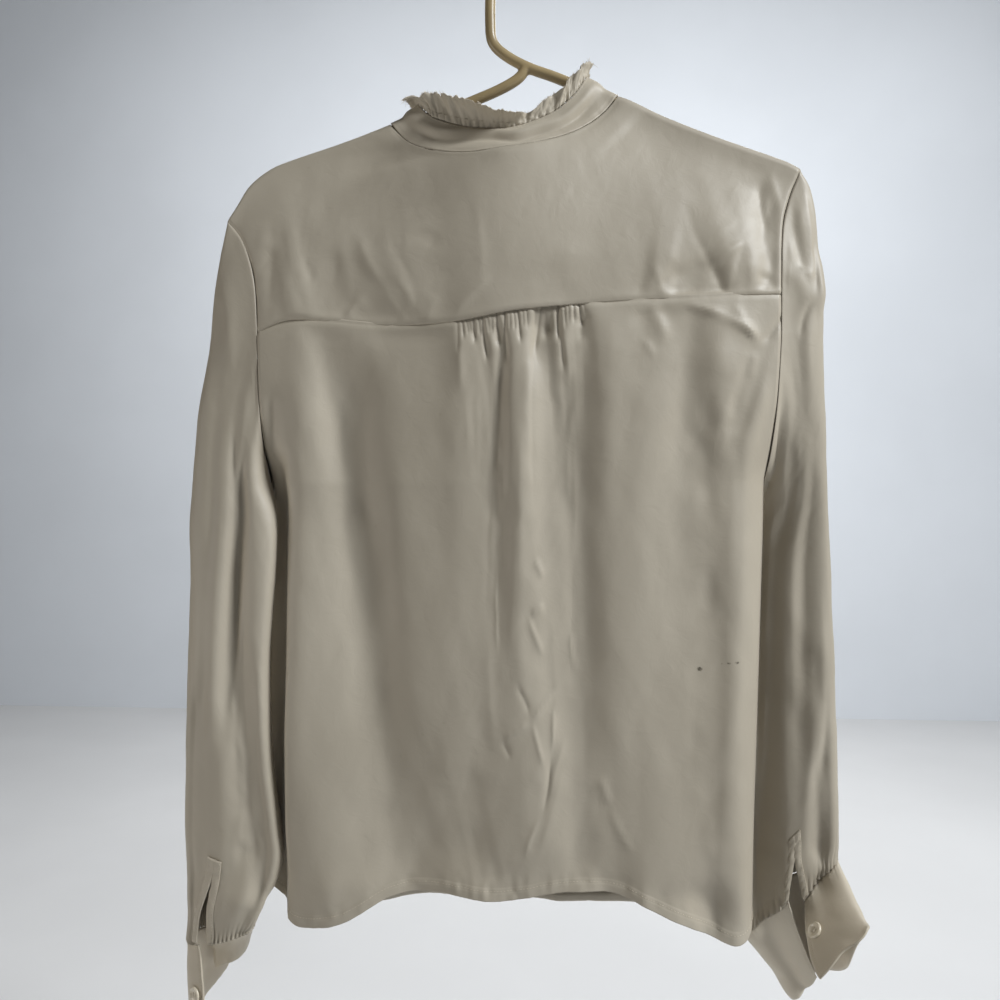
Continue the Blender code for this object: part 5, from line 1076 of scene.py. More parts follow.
def collar_relief(u, v, base):
    """The band buckles inwards along a line across the back, and is topstitched at both edges."""
    x, y, flat = base[..., 0], base[..., 1], 0.0 * base[..., 0]
    run, drop = u * COLLAR_MIDDLE_AROUND, v * COLLAR_HEIGHT
    line = 0.62 - 0.22 * np.exp(-((x + 38.0) / 24.0) ** 2) + 0.06 * rumple(x, flat, 17.0, 1.0, 5.0)
    on_back = ease(-92.0, -72.0, x) * ease(54.0, 38.0, x) * ease(4.0, -6.0, y)
    depth = mix(1.0, 3.4, on_back) * (1.0 + 0.25 * rumple(x, flat, 23.0, 1.0, 6.0))
    away = v - line
    height = -depth * np.exp(-(away / np.where(away < 0.0, 0.13, 0.24)) ** 2)
    height += 0.45 * depth * np.exp(-((away + 0.28) / 0.12) ** 2)
    height = height * ease(0.0, 0.10, v) * ease(1.0, 0.86, v)
    height += 0.30 * rumple(run, drop, 4.2, 12.0, 7.0) * ease(0.72, 1.0, v)
    height += 0.22 * rumple(run, drop, 5.0, 10.0, 8.0) * ease(0.28, 0.0, v)
    top, low = COLLAR_STITCHES
    seams = np.exp(-((v - top) / 0.022) ** 2) + 1.6 * np.exp(-((v - low) / 0.024) ** 2)
    return height - 0.34 * seams


def sleeve_relief(form, back_table, front_table):
    def relief(u, v, base):
        x, z = base[..., 0], base[..., 2]
        turn = ROUND * form.around(u, z)
        facing = np.sin(turn)
        on_back, on_front = ease(0.0, 0.35, facing), ease(0.0, -0.35, facing)
        beside, drop, rise = np.minimum(u, 1.0 - u), v * SLEEVE_LENGTH, (1.0 - v) * SLEEVE_LENGTH
        calm = ease(0.0, 14.0, drop) * ease(0.0, 12.0, rise) * ease(0.01, 0.07, beside)
        height = on_back * creases(back_table, x, z, sway=0.0) + on_front * creases(front_table, x, z)
        height = calm * height
        wrap = 34.0 * np.cos(turn)
        height += soft_waves(wrap + 9.0 * facing, z, 0.8, 8.0 + form.sleeve.side)
        height += seam_roll(drop, 1.6, 0.35)
        clear = ease(CUFF_GATHER_CLEAR, CUFF_GATHER_FULL, beside)
        height += clear * gathers(u, CUFF_GATHERS, rise, CUFF_GATHER_RISE, 4.0, 20.0, 2.0)
        return height + 0.4 * np.exp(-rise / 2.0)

    return relief


def cuff_relief(u, v, base):
    beside, run, drop = np.minimum(u, 1.0 - u), u * CUFF_AROUND, v * CUFF_HEIGHT
    clear = ease(CUFF_GATHER_CLEAR, CUFF_GATHER_FULL, beside)
    height = clear * gathers(u, CUFF_GATHERS, drop, 0.28, 2.5, 7.0, 2.0)
    height += 1.6 * rumple(run, drop, 30.0, 22.0, 5.0)
    height += 0.6 * rumple(run + v * 40.0, drop, 12.0, 26.0, 7.0)
    edge = np.minimum(beside * CUFF_AROUND, np.minimum(v, 1.0 - v) * CUFF_HEIGHT)
    height += 0.22 * rumple(run, drop, 5.0, 5.0, 6.0) * ease(7.0, 2.0, edge)
    return height - 0.28 * np.exp(-((edge - EDGE_STITCH) / 0.8) ** 2)


def ruffle_relief(u, v, base):
    run, drop = u * RUFFLE_AROUND, v * 20.0
    return 0.5 * rumple(run, drop, 3.2, 7.0, 4.0) + 0.25 * rumple(run, drop, 1.6, 3.0, 5.0)


# ---------- the sewn pieces

def straight(face):
    """The level way out of the back or the front."""
    return lambda u, v, base: points(0.0 * u, face, 0.0)


def around_arm(form):
    """The level way out of a flat-lying sleeve."""
    def way(u, v, base):
        turn = ROUND * form.around(u, base[..., 2])
        return unit(points(form.sleeve.side * np.cos(turn) ** 3, -np.sin(turn), 0.0))

    return way


BACK_SKIN = Skin(panel_form(BACK, yoke_seam_z, hem_back_z, (body_left_x, SEAM_LEFT_X, HEM_LEFT_X),
                            (body_right_x, SEAM_RIGHT_X, HEM_RIGHT_X)),
                 back_panel_relief, 1.0, PANEL_LENGTH, straight(BACK))
YOKE_SKIN = Skin(yoke_form, yoke_relief)


def front_skin(side):
    if side < 0:
        left = (body_left_x, FRONT_SEAM_LEFT_X, HEM_LEFT_X)
        right = (lambda z: centre_x(z) - SEAM_GAP / 2, CENTRE_TOP_X, CENTRE_HEM_X)
    else:
        left = (lambda z: centre_x(z) + SEAM_GAP / 2, CENTRE_TOP_X, CENTRE_HEM_X)
        right = (body_right_x, FRONT_SEAM_RIGHT_X, HEM_RIGHT_X)
    return Skin(panel_form(FRONT, front_top_z, hem_front_z, left, right), front_relief, -1.0,
                FRONT_LENGTH, straight(FRONT))


FRONT_SKINS = {-1: front_skin(-1), 1: front_skin(1)}
BAND_SKIN = Skin(band_form, band_relief, -1.0)
COLLAR_SKIN = Skin(collar_form, collar_relief)
RUFFLE_SKIN = Skin(ruffle_form, ruffle_relief)
SLEEVE_FORMS = {-1: SleeveForm(SLEEVE_LEFT), 1: SleeveForm(SLEEVE_RIGHT)}
SLEEVE_SKINS = {
    side: Skin(SLEEVE_FORMS[side].cloth,
               sleeve_relief(SLEEVE_FORMS[side], table, SLEEVE_HIDDEN_CREASES), -side,
               way=around_arm(SLEEVE_FORMS[side]))
    for side, table in ((-1, SLEEVE_LEFT_CREASES), (1, SLEEVE_RIGHT_CREASES))}
CUFF_SKINS = {side: Skin(form.cuff, cuff_relief, -side) for side, form in SLEEVE_FORMS.items()}


def hem_rows(length, start, pitch, fine):
    """Shares down a panel, finer at its hem, and on past 1 for the turned-up inside of the hem."""
    return shares(even(start, 1.0 - 20.0 / length, pitch / length),
                  even(1.0 - 20.0 / length, 1.0 - 1.0 / length, fine / length),
                  np.array([1.0 - 0.4 / length, 1.0, 1.0 + 0.4 / length, 1.0 + 1.2 / length,
                            1.0 + 4.0 / length, 1.0 + HEM_WIDTH / length]))


def make_back_panel():
    width = SEAM_RIGHT_X - SEAM_LEFT_X
    left, right = (GATHER_LEFT_X - SEAM_LEFT_X) / width, (GATHER_RIGHT_X - SEAM_LEFT_X) / width
    columns = shares(even(0.0, left, 2.5 / width), even(left, right, 0.7 / width),
                     even(right, 1.0, 2.5 / width))
    downs = shares(np.array([-0.006, -0.003, 0.0, 0.002, 0.005]), even(0.005, 0.14, 2.0 / PANEL_LENGTH),
                   even(0.14, 0.50, 3.0 / PANEL_LENGTH), hem_rows(PANEL_LENGTH, 0.50, 2.8, 1.2))
    return lay_cloth("back_panel", BACK_SKIN, columns, downs, (0.43, 0.47), CLOTH, finishes["silk"])


YOKE_NECK_LEFT = round((NECK_LEFT_X - TIP_LEFT_X) / (TIP_RIGHT_X - TIP_LEFT_X), 7)
YOKE_NECK_RIGHT = round((NECK_RIGHT_X - TIP_LEFT_X) / (TIP_RIGHT_X - TIP_LEFT_X), 7)


def make_yoke():
    columns = even(0.0, 1.0, 2.1 / (TIP_RIGHT_X - TIP_LEFT_X))
    columns = shares(columns, [YOKE_NECK_LEFT, YOKE_NECK_RIGHT])
    downs = shares(even(-1.0, -0.12, 2.6 / YOKE_FORWARD), even(-0.12, 0.0, 0.9 / YOKE_FORWARD),
                   even(0.0, 0.06, 0.9 / YOKE_LENGTH), even(0.06, 0.96, 2.1 / YOKE_LENGTH),
                   even(0.96, 1.0, 1.0 / YOKE_LENGTH))

    def neck(first, last, high, low):
        return low <= 1e-6 and first >= YOKE_NECK_LEFT - 1e-6 and last <= YOKE_NECK_RIGHT + 1e-6

    return lay_cloth("back_yoke", YOKE_SKIN, columns, downs, YOKE_CUT, CLOTH, finishes["silk"],
                     cut_out=neck)


def make_front(name, side):
    return lay_cloth(name, FRONT_SKINS[side], even(0.0, 1.0, 3.2 / 200.0),
                     hem_rows(FRONT_LENGTH, 0.0003, 4.2, 2.2), FRONT_CUT, CLOTH, finishes["silk"])


def make_band():
    return lay_cloth("front_band", BAND_SKIN, even(0.0, 1.0, 1.0 / 13.0),
                     even(0.0, 1.0, 4.0 / FRONT_LENGTH), BAND_CUT, DOUBLED, finishes["trim"])


def make_sleeve(name, side):
    downs = shares(*(even(start, end, pitch / SLEEVE_LENGTH) for start, end, pitch in (
        (0.0, 0.03, 1.6), (0.03, 0.80, 4.4), (0.80, 0.985, 2.6), (0.985, 1.0, 1.0))))
    return lay_cloth(name, SLEEVE_SKINS[side], even(0.0, 1.0, 1.0 / (4 * CUFF_GATHERS)), downs,
                     SLEEVE_CUT, CLOTH, finishes["silk"], weld=True)


def make_cuff(name, side):
    return lay_cloth(name, CUFF_SKINS[side], even(0.0, 1.0, 1.0 / (4 * CUFF_GATHERS)),
                     even(0.0, 1.0, 2.0 / CUFF_HEIGHT), (0.225, CUFF_HEIGHT * MM), DOUBLED,
                     finishes["cuff"])


def binding_skin(side, start, turn):
    """A binding: u across it from the slit's edge, v down it."""
    form = SLEEVE_FORMS[side]
    top_z, seam_z = (form.cloth(np.float64(0.0), np.float64(v))[2] for v in (0.0, 1.0))
    first = (top_z - form.sleeve.slit_top_z) / (top_z - seam_z)

    def place(u, v):
        down = mix(first, 0.996, v)
        edge = form.cloth(np.full(np.shape(u), start), down)
        span = form.cloth(np.full(np.shape(u), start + turn * BINDING_SPAN), down) - edge
        across = BINDING_SPAN * BINDING_WIDTH / np.linalg.norm(span, axis=-1)
        return form.cloth(start + turn * (across * u - 0.002), down)

    def relief(u, v, base):
        pucker = rumple(u * 7.0, v * 60.0, 4.0, 3.2, 3.0 + start)
        crown = np.sqrt(np.maximum(1.0 - (2.0 * u - 1.0) ** 4, 0.0)) - 1.0
        far, near = BINDING_STITCHES
        lines = np.exp(-((u - far) / 0.07) ** 2) + 0.6 * np.exp(-((u - near) / 0.06) ** 2)
        return BINDING_LIFT + 0.45 * pucker + 0.35 * crown - 0.4 * lines

    return Skin(place, relief, turn if side < 0 else -turn)


def make_binding(name, skin):
    return lay_cloth(name, skin, even(0.0, 1.0, 0.1), even(0.0, 1.0, 1.4 / 60.0),
                     (BINDING_WIDTH * MM, 0.07), BINDING_WALL, finishes["trim"])


def make_collar():
    return lay_cloth("collar_band", COLLAR_SKIN, even(0.0, 1.0, 2.0 / COLLAR_AROUND),
                     even(0.0, 1.0, 1.6 / COLLAR_HEIGHT), (0.44, 0.034), DOUBLED, finishes["trim"])


def make_ruffle():
    return lay_cloth("collar_ruffle", RUFFLE_SKIN, even(0.0, 1.0, 1.0 / 720.0), even(0.0, 1.28, 0.07),
                     (0.47, 0.02), CLOTH, finishes["trim"])


def make_fringe(count):
    """The raw edge's loose threads."""
    bm = bmesh.new()
    source = np.random.RandomState(5)
    u = np.sort(source.uniform(0.002, 0.998, count))
    edge = RUFFLE_SKIN.place(u, np.zeros(count))
    below = RUFFLE_SKIN.place(u, np.full(count, 0.06))
    ahead = RUFFLE_SKIN.place(u + 0.002, np.zeros(count))
    up, along = unit(edge - below), unit(ahead - edge)
    outward = RUFFLE_SKIN.normal(u, np.zeros(count))
    for index in range(count):
        length = source.uniform(0.9, 2.6) if source.uniform() < 0.97 else source.uniform(3.5, 7.0)
        lean = up[index] + along[index] * source.normal(0.0, 0.6)
        lean = Vector(lean + outward[index] * source.normal(0.0, 0.5)).normalized()
        turn = lean.to_track_quat("Z", "X").to_matrix().to_4x4()
        middle = Vector(edge[index]) + lean * (length / 2 - 0.5)
        bmesh.ops.create_cone(bm, cap_ends=True, segments=3, radius1=0.24 * MM, radius2=0.05 * MM,
                              depth=length * MM, matrix=Matrix.Translation(middle * MM) @ turn)
    return add_piece("ruffle_fringe", mesh_of("ruffle_fringe", bm), finishes["thread"])


# ---------- buttons

def button_body(radius):
    """A button with a raised rim, a dished middle and four holes, lying flat at the origin."""
    bm = bmesh.new()
    half = BUTTON_THICK / 2
    profile = ((0.0, 0.15 * half), (0.50, 0.15 * half), (0.66, 0.55 * half), (0.78, 0.98 * half),
               (0.90, 0.98 * half), (0.985, 0.55 * half), (1.0, 0.0), (0.97, -0.6 * half),
               (0.88, -half), (0.0, -half))
    verts = [bm.verts.new((radius * share * MM, 0.0, height * MM)) for share, height in profile]
    edges = [bm.edges.new(pair) for pair in zip(verts, verts[1:])]
    bmesh.ops.spin(bm, geom=verts + edges, cent=(0, 0, 0), axis=(0, 0, 1), angle=2.0 * math.pi,
                   steps=40, use_merge=True)
    bmesh.ops.remove_doubles(bm, verts=bm.verts, dist=TOUCHING)
    bmesh.ops.recalc_face_normals(bm, faces=bm.faces)
    return bm


def button_holes(radius):
    bm = bmesh.new()
    hole = HOLE_SIZE * radius * MM
    for across in (-1, 1):
        for down in (-1, 1):
            spot = Vector((across, down, 0.0)) * (HOLE_REACH * radius * MM)
            bmesh.ops.create_cone(bm, cap_ends=True, segments=14, radius1=hole, radius2=hole,
                                  depth=2.0 * BUTTON_THICK * MM, matrix=Matrix.Translation(spot))
    return bm


def mesh_object(name, bm):
    item = bpy.data.objects.new(name, mesh_of(name, bm))
    bpy.context.scene.collection.objects.link(item)
    return item


def finished_mesh(item):
    """The mesh that an object's modifiers make, with the object taken away."""
    graph = bpy.context.evaluated_depsgraph_get()
    mesh = bpy.data.meshes.new_from_object(item.evaluated_get(graph))
    bpy.data.objects.remove(item, do_unlink=True)
    return mesh


def make_button(name, skin, u, v, radius, seat, outward):
    drilled = mesh_object(name + "_blank", button_body(radius))
    holes = mesh_object(name + "_holes", button_holes(radius))
    cut = drilled.modifiers.new("holes", "BOOLEAN")
    cut.operation = "DIFFERENCE"
    cut.solver = "EXACT"
    cut.object = holes
    mesh = finished_mesh(drilled)
    bpy.data.objects.remove(holes, do_unlink=True)
    u, v = np.float64(u), np.float64(v)
    normal = Vector(skin.normal(u, v, 0.01))
    if normal.dot(outward) < 0.0:
        normal.negate()
    centre = (Vector(skin.form(u, v)) + normal * seat) * MM
    place = Matrix.Translation(centre) @ normal.to_track_quat("Z", "Y").to_matrix().to_4x4()
    mesh.transform(place)
    mesh.shade_smooth()
    mesh.set_sharp_from_angle(angle=math.radians(42))
    add_piece(name + "_turned", mesh, finishes["resin"], (name,))

    bm = bmesh.new()
    reach = HOLE_REACH * radius * MM
    strand_size = Matrix.Diagonal((0.32 * MM, 0.32 * MM, reach * 1.35, 1.0))
    for side in (-1, 1):
        for strand in (-0.35, 0.35):
            lie = Matrix.Translation((side * reach, strand * MM, 0.22 * MM))
            lie = lie @ Matrix.Rotation(math.pi / 2, 4, "X")
            bmesh.ops.create_uvsphere(bm, u_segments=8, v_segments=8, radius=1.0,
                                      matrix=place @ lie @ strand_size)
    mesh = mesh_of(name + "_thread", bm)
    mesh.shade_smooth()
    return add_piece(name + "_thread", mesh, finishes["thread"])


# ---------- hanger

def arm_z(x):
    return float(shoulder_z(x)) - RIDGE_RADIUS


def smooth_route(spots, spacing):
    """Places every spacing along a smooth curve through given points."""
    spots = np.array(spots, float)
    before = np.vstack((spots[:1], spots[:-2]))
    here, ahead = spots[:-1], spots[1:]
    after = np.vstack((spots[2:], spots[-1:]))
    t = (np.arange(24) / 24.0)[None, :, None]
    before, here, ahead, after = (part[:, None, :] for part in (before, here, ahead, after))
    dense = 0.5 * (2 * here + (ahead - before) * t
                   + (2 * before - 5 * here + 4 * ahead - after) * t ** 2
                   + (3 * here - before - 3 * ahead + after) * t ** 3)
    dense = np.vstack((dense.reshape(-1, 3), spots[-1:]))
    lengths = np.concatenate(([0.0], np.cumsum(np.linalg.norm(np.diff(dense, axis=0), axis=1))))
    targets = np.linspace(0.0, lengths[-1], max(int(round(lengths[-1] / spacing)), 2) + 1)
    return np.stack([np.interp(targets, lengths, dense[:, axis]) for axis in range(3)], axis=-1)


def tube(name, route, radius):
    """A round-ended tube along a route, as a mesh object."""
    curve = bpy.data.curves.new(name, "CURVE")
    curve.dimensions = "3D"
    curve.bevel_depth = radius * MM
    curve.bevel_resolution = 6
    curve.use_fill_caps = True
    spline = curve.splines.new("POLY")
    spline.points.add(len(route) - 1)
    for point, place in zip(spline.points, route):
        point.co = (*(place * MM), 1.0)
    drawn = bpy.data.objects.new(name, curve)
    bpy.context.scene.collection.objects.link(drawn)
    mesh = finished_mesh(drawn)
    bm = bmesh.new()
    bm.from_mesh(mesh)
    bmesh.ops.remove_doubles(bm, verts=bm.verts, dist=TOUCHING)
    for end in (route[0], route[-1]):
        bmesh.ops.create_uvsphere(bm, u_segments=24, v_segments=16, radius=radius * MM,
                                  matrix=Matrix.Translation(Vector(end) * MM))
    return mesh_object(name, bm)


def make_hanger(grain):
    """Hook, stem and right arm in one run of tube, and the left arm growing out of it."""
    hook_z = TUBE_RADIUS - HOOK_RADIUS
    turns = np.linspace(HOOK_TIP_TURN, math.pi, 24)
    main = [(HOOK_RADIUS * math.cos(turn), 0.0, hook_z + HOOK_RADIUS * math.sin(turn))
            for turn in turns]
    main += [(-HOOK_RADIUS, 0.0, -45.0), (-HOOK_RADIUS, 0.0, -66.0), (-29.0, 0.0, -81.0),
             (-18.0, 0.0, -92.0), (0.0, 0.0, -102.0), (24.0, 0.0, -111.5)]
    main += [(x, 0.0, arm_z(x)) for x in (72.0, 110.0, 150.0)]
    main.append((ARM_RIGHT_END_X, 0.0, arm_z(ARM_RIGHT_END_X) - 0.6))
    left = [(-3.0, 0.0, -101.5), (-9.0, 0.0, -109.5), (-23.0, 0.0, -117.5), (-44.0, 0.0, -126.0),
            (-80.0, 0.0, -139.4)]
    left += [(x, 0.0, arm_z(x)) for x in (-118.0, -155.0)]
    left.append((ARM_LEFT_END_X, 0.0, arm_z(ARM_LEFT_END_X) - 0.6))

    joined = bmesh.new()
    for name, spots in (("main_run", main), ("left_run", left)):
        part = tube(name, smooth_route(spots, 3.0), TUBE_RADIUS)
        joined.from_mesh(part.data)
        bpy.data.objects.remove(part, do_unlink=True)
    moulded = mesh_object("hanger_mould", joined)
    remesh = moulded.modifiers.new("mould", "REMESH")
    remesh.mode = "VOXEL"
    remesh.voxel_size = grain * MM
    remesh.use_smooth_shade = True
    ease_out = moulded.modifiers.new("blend", "CORRECTIVE_SMOOTH")
    ease_out.iterations = 6
    ease_out.use_only_smooth = True
    mesh = finished_mesh(moulded)
    mesh.materials.clear()
    mesh.shade_smooth()
    return add_piece("moulded_hanger", mesh, finishes["plastic"], ("hanger",))


# ---------- node groups

FIRST_COLUMN, COLUMN_STEP = -1400, 220


class Nodes:
    """Adds nodes to a tree, left to right, and links them."""

    def __init__(self, tree):
        self.tree = tree
        self.column = FIRST_COLUMN

    def add(self, kind, **settings):
        node = self.tree.nodes.new(kind)
        node.location = (self.column, 0)
        self.column += COLUMN_STEP
        for name, value in settings.items():
            setattr(node, name, value)
        return node

    def feed(self, socket, source):
        if isinstance(source, bpy.types.NodeSocket):
            self.tree.links.new(source, socket)
        else:
            socket.default_value = source

    def math(self, operation, first, second=None, third=None, clamp=False):
        node = self.add("ShaderNodeMath", operation=operation, use_clamp=clamp)
        for socket, source in zip(node.inputs, (first, second, third)):
            if source is not None:
                self.feed(socket, source)
        return node.outputs[0]

    def noise(self, vector, scale, detail=2.0, roughness=0.5, distortion=0.0):
        node = self.add("ShaderNodeTexNoise")
        for name, source in (("Vector", vector), ("Scale", scale), ("Detail", detail),
                             ("Roughness", roughness), ("Distortion", distortion)):
            self.feed(node.inputs[name], source)
        return node.outputs["Fac"]

    def stretch(self, vector, scale):
        node = self.add("ShaderNodeMapping")
        self.feed(node.inputs["Vector"], vector)
        node.inputs["Scale"].default_value = scale
        return node.outputs["Vector"]

    def between(self, value, low, high, to_low=0.0, to_high=1.0):
        node = self.add("ShaderNodeMapRange", interpolation_type="SMOOTHSTEP")
        for socket, source in zip(node.inputs, (value, low, high, to_low, to_high)):
            self.feed(socket, source)
        return node.outputs["Result"]

    def blend(self, share, first, second, kind="MIX"):
        node = self.add("ShaderNodeMix", data_type="RGBA", blend_type=kind, clamp_factor=True)
        self.feed(node.inputs["Factor"], share)
        self.feed(node.inputs["A"], first)
        self.feed(node.inputs["B"], second)
        return node.outputs["Result"]

    def times(self, value, factor):
        return self.math("MULTIPLY", value, factor)

    def bump(self, height, strength, distance, normal=None):
        node = self.add("ShaderNodeBump")
        self.feed(node.inputs["Strength"], strength)
        self.feed(node.inputs["Distance"], distance)
        self.feed(node.inputs["Height"], height)
        if normal is not None:
            self.feed(node.inputs["Normal"], normal)
        return node.outputs["Normal"]

    def group(self, tree, **values):
        node = self.add("ShaderNodeGroup")
        node.node_tree = tree
        for name, value in values.items():
            self.feed(node.inputs[name.replace("_", " ")], value)
        return node


def new_group(name, setting, default, outputs):
    """A node group that takes coordinates and one setting, its nodes and its input's sockets."""
    tree = bpy.data.node_groups.new(name, "ShaderNodeTree")
    tree.interface.new_socket("Coordinates", in_out="INPUT", socket_type="NodeSocketVector")
    socket = tree.interface.new_socket(setting, in_out="INPUT", socket_type="NodeSocketFloat")
    socket.default_value = default
    for label in outputs.split():
        tree.interface.new_socket(label, in_out="OUTPUT", socket_type="NodeSocketFloat")
    nodes = Nodes(tree)
    return tree, nodes, nodes.add("NodeGroupInput").outputs


def close_group(nodes, **results):
    end = nodes.add("NodeGroupOutput")
    for name, source in results.items():
        nodes.feed(end.inputs[name.replace("_", " ")], source)


def satin_weave_group():
    """Fine floats of thread: long along the warp, short across it."""
    tree, nodes, given = new_group("satin_weave", "Threads", 2600.0, "Height Slub")
    place = given["Coordinates"]
    warp = nodes.noise(nodes.stretch(place, (1.0, 0.09, 1.0)), given["Threads"], 2.0)
    weft = nodes.noise(nodes.stretch(place, (0.12, 1.0, 1.0)), given["Threads"], 1.0)
    height = nodes.math("ADD", nodes.times(warp, 0.7), nodes.times(weft, 0.3))
    slub = nodes.noise(nodes.stretch(place, (0.05, 1.0, 1.0)), 620.0, 2.0)
    close_group(nodes, Height=height, Slub=slub)
    return tree


def handling_group():
    """Soft creasing of handled cloth, from hand-wide rumples down to fine crinkles."""
    tree, nodes, given = new_group("handling_creases", "Fine", 0.3, "Height Wear")
    long_way = nodes.stretch(given["Coordinates"], (1.0, 1.0, 0.45))
    broad = nodes.noise(long_way, 14.0, 3.0, 0.5, 0.6)
    small = nodes.noise(given["Coordinates"], 70.0, 3.0, 0.55, 1.2)
    height = nodes.math("ADD", broad, nodes.times(small, given["Fine"]))
    close_group(nodes, Height=height, Wear=small)
    return tree


def mottle_group():
    """Slow changes of tone, as light falls through two layers and the cloth has aged."""
    tree, nodes, given = new_group("aged_tone", "Strength", 1.0, "Tone Spots")
    slow = nodes.noise(nodes.stretch(given["Coordinates"], (1.0, 1.0, 0.6)), 7.0, 3.0, 0.55)
    tone = nodes.times(nodes.between(slow, 0.35, 0.68), given["Strength"])
    specks = nodes.between(nodes.noise(given["Coordinates"], 95.0, 2.0, 0.6), 0.735, 0.80)
    close_group(nodes, Tone=tone, Spots=specks)
    return tree


# ---------- materials

SPECK_COLOUR, STAIN_COLOUR = (0.16, 0.12, 0.07, 1.0), (0.10, 0.085, 0.06, 1.0)
SHEEN_TINT = (1.0, 0.96, 0.90, 1.0)
SCUFF_COLOUR = (0.60, 0.55, 0.46, 1.0)
SHELL_LIGHT, SHELL_DARK = (0.74, 0.67, 0.54, 1.0), (0.60, 0.52, 0.39, 1.0)
STAIN_DEPTH = 0.15  # how little a stain's place in depth counts


def new_material(name, **inputs):
    material = bpy.data.materials.new(name)
    material.use_nodes = True
    nodes = Nodes(material.node_tree)
    shader = material.node_tree.nodes["Principled BSDF"]
    for label, value in inputs.items():
        shader.inputs[label.replace("_", " ")].default_value = value
    return material, nodes, shader


def toned(colour, shade=1.0):
    return [channel * shade for channel in colour] + [1.0]


def silk_material(name, silk, groups, shade=1.0, soil=True):
    """Washed silk satin: a soft sheen over fine threads, a little mottled and creased."""
    material, nodes, shader = new_material(name, Specular_IOR_Level=0.45, Sheen_Weight=silk.sheen,
                                           Sheen_Roughness=0.35, Sheen_Tint=SHEEN_TINT)
    coordinates = nodes.add("ShaderNodeTexCoord")
    place = coordinates.outputs["Object"]
    weave = nodes.group(groups["weave"], Coordinates=coordinates.outputs["UV"])
    handled = nodes.group(groups["handling"], Coordinates=place, Fine=silk.crinkle)
    aged = nodes.group(groups["aged"], Coordinates=place)
    deep = toned(silk.deep_colour, shade)
    colour = nodes.blend(aged.outputs["Tone"], toned(silk.colour, shade), deep)
    colour = nodes.blend(nodes.times(weave.outputs["Slub"], 0.10), colour, deep)
    if soil:
        colour = nodes.blend(nodes.times(aged.outputs["Spots"], 0.10), colour, SPECK_COLOUR)
        for stain in STAINS:
            radius = stain.radius * MM
            away = nodes.add("ShaderNodeVectorMath", operation="DISTANCE")
            nodes.feed(away.inputs[0], nodes.stretch(place, (1.0, STAIN_DEPTH, stain.squash)))
            away.inputs[1].default_value = (stain.x * MM, STAIN_DEPTH * stain.y * MM,
                                            stain.z * stain.squash * MM)
            ragged = nodes.times(nodes.noise(place, 900.0, 2.0), radius)
            reach = nodes.math("ADD", away.outputs["Value"], ragged)
            mask = nodes.between(reach, 1.5 * radius, radius)
            colour = nodes.blend(nodes.times(mask, stain.strength), colour, STAIN_COLOUR)
    nodes.feed(shader.inputs["Base Color"], colour)
    rough = nodes.math("ADD", silk.roughness - 0.06, nodes.times(handled.outputs["Wear"], 0.12))
    nodes.feed(shader.inputs["Roughness"], rough)
    threads = nodes.bump(weave.outputs["Height"], 0.35, 0.00012)
    folds = nodes.bump(handled.outputs["Height"], 0.5, silk.rumple_depth, threads)
    nodes.feed(shader.inputs["Normal"], folds)
    return material


def thread_material(silk):
    material, nodes, shader = new_material("sewing_thread", Roughness=0.55)
    twist = nodes.noise(nodes.add("ShaderNodeTexCoord").outputs["Object"], 1800.0, 2.0)
    light = [min(channel * 1.7, 1.0) for channel in silk.colour] + [1.0]
    nodes.feed(shader.inputs["Base Color"], nodes.blend(twist, toned(silk.colour), light))
    nodes.feed(shader.inputs["Normal"], nodes.bump(twist, 0.3, 0.0001))
    return material


def hanger_material(looks):
    """Moulded tan plastic with a slight satin grain, a few scuffs and a flow mark."""
    material, nodes, shader = new_material("moulded_plastic")
    place = nodes.add("ShaderNodeTexCoord").outputs["Object"]
    cloud = nodes.between(nodes.noise(place, 22.0, 3.0), 0.38, 0.66)
    scratches = nodes.noise(nodes.stretch(place, (0.25, 1.0, 1.6)), 420.0, 3.0, 0.6)
    scuff = nodes.between(scratches, 0.60, 0.72)
    colour = nodes.blend(cloud, toned(looks.colour), toned(looks.colour, 0.78))
    colour = nodes.blend(nodes.times(scuff, 0.16), colour, SCUFF_COLOUR)
    nodes.feed(shader.inputs["Base Color"], colour)
    nodes.feed(shader.inputs["Roughness"], nodes.math("ADD", 0.36, nodes.times(scuff, 0.22)))
    nodes.feed(shader.inputs["Normal"], nodes.bump(nodes.noise(place, 900.0, 3.0), 0.25, 0.0002))
    return material


def button_material():
    """Cast resin with a shell-like cloud in it."""
    material, nodes, shader = new_material("button_resin", Coat_Weight=0.35, Coat_Roughness=0.15)
    place = nodes.add("ShaderNodeTexCoord").outputs["Object"]
    cloud = nodes.noise(nodes.stretch(place, (1.0, 1.0, 2.2)), 190.0, 3.0, 0.5, 1.5)
    cloud = nodes.between(cloud, 0.35, 0.70)
    nodes.feed(shader.inputs["Base Color"], nodes.blend(cloud, SHELL_LIGHT, SHELL_DARK))
    nodes.feed(shader.inputs["Roughness"], nodes.math("ADD", 0.20, nodes.times(cloud, 0.10)))
    return material


def plaster_material(name, colour):
    material, nodes, shader = new_material(name, Roughness=0.85)
    place = nodes.add("ShaderNodeTexCoord").outputs["Object"]
    cloud = nodes.between(nodes.noise(place, 1.6, 4.0), 0.3, 0.7)
    nodes.feed(shader.inputs["Base Color"], nodes.blend(cloud, toned(colour), toned(colour, 0.95)))
    return material


# ---------- sizes and colours

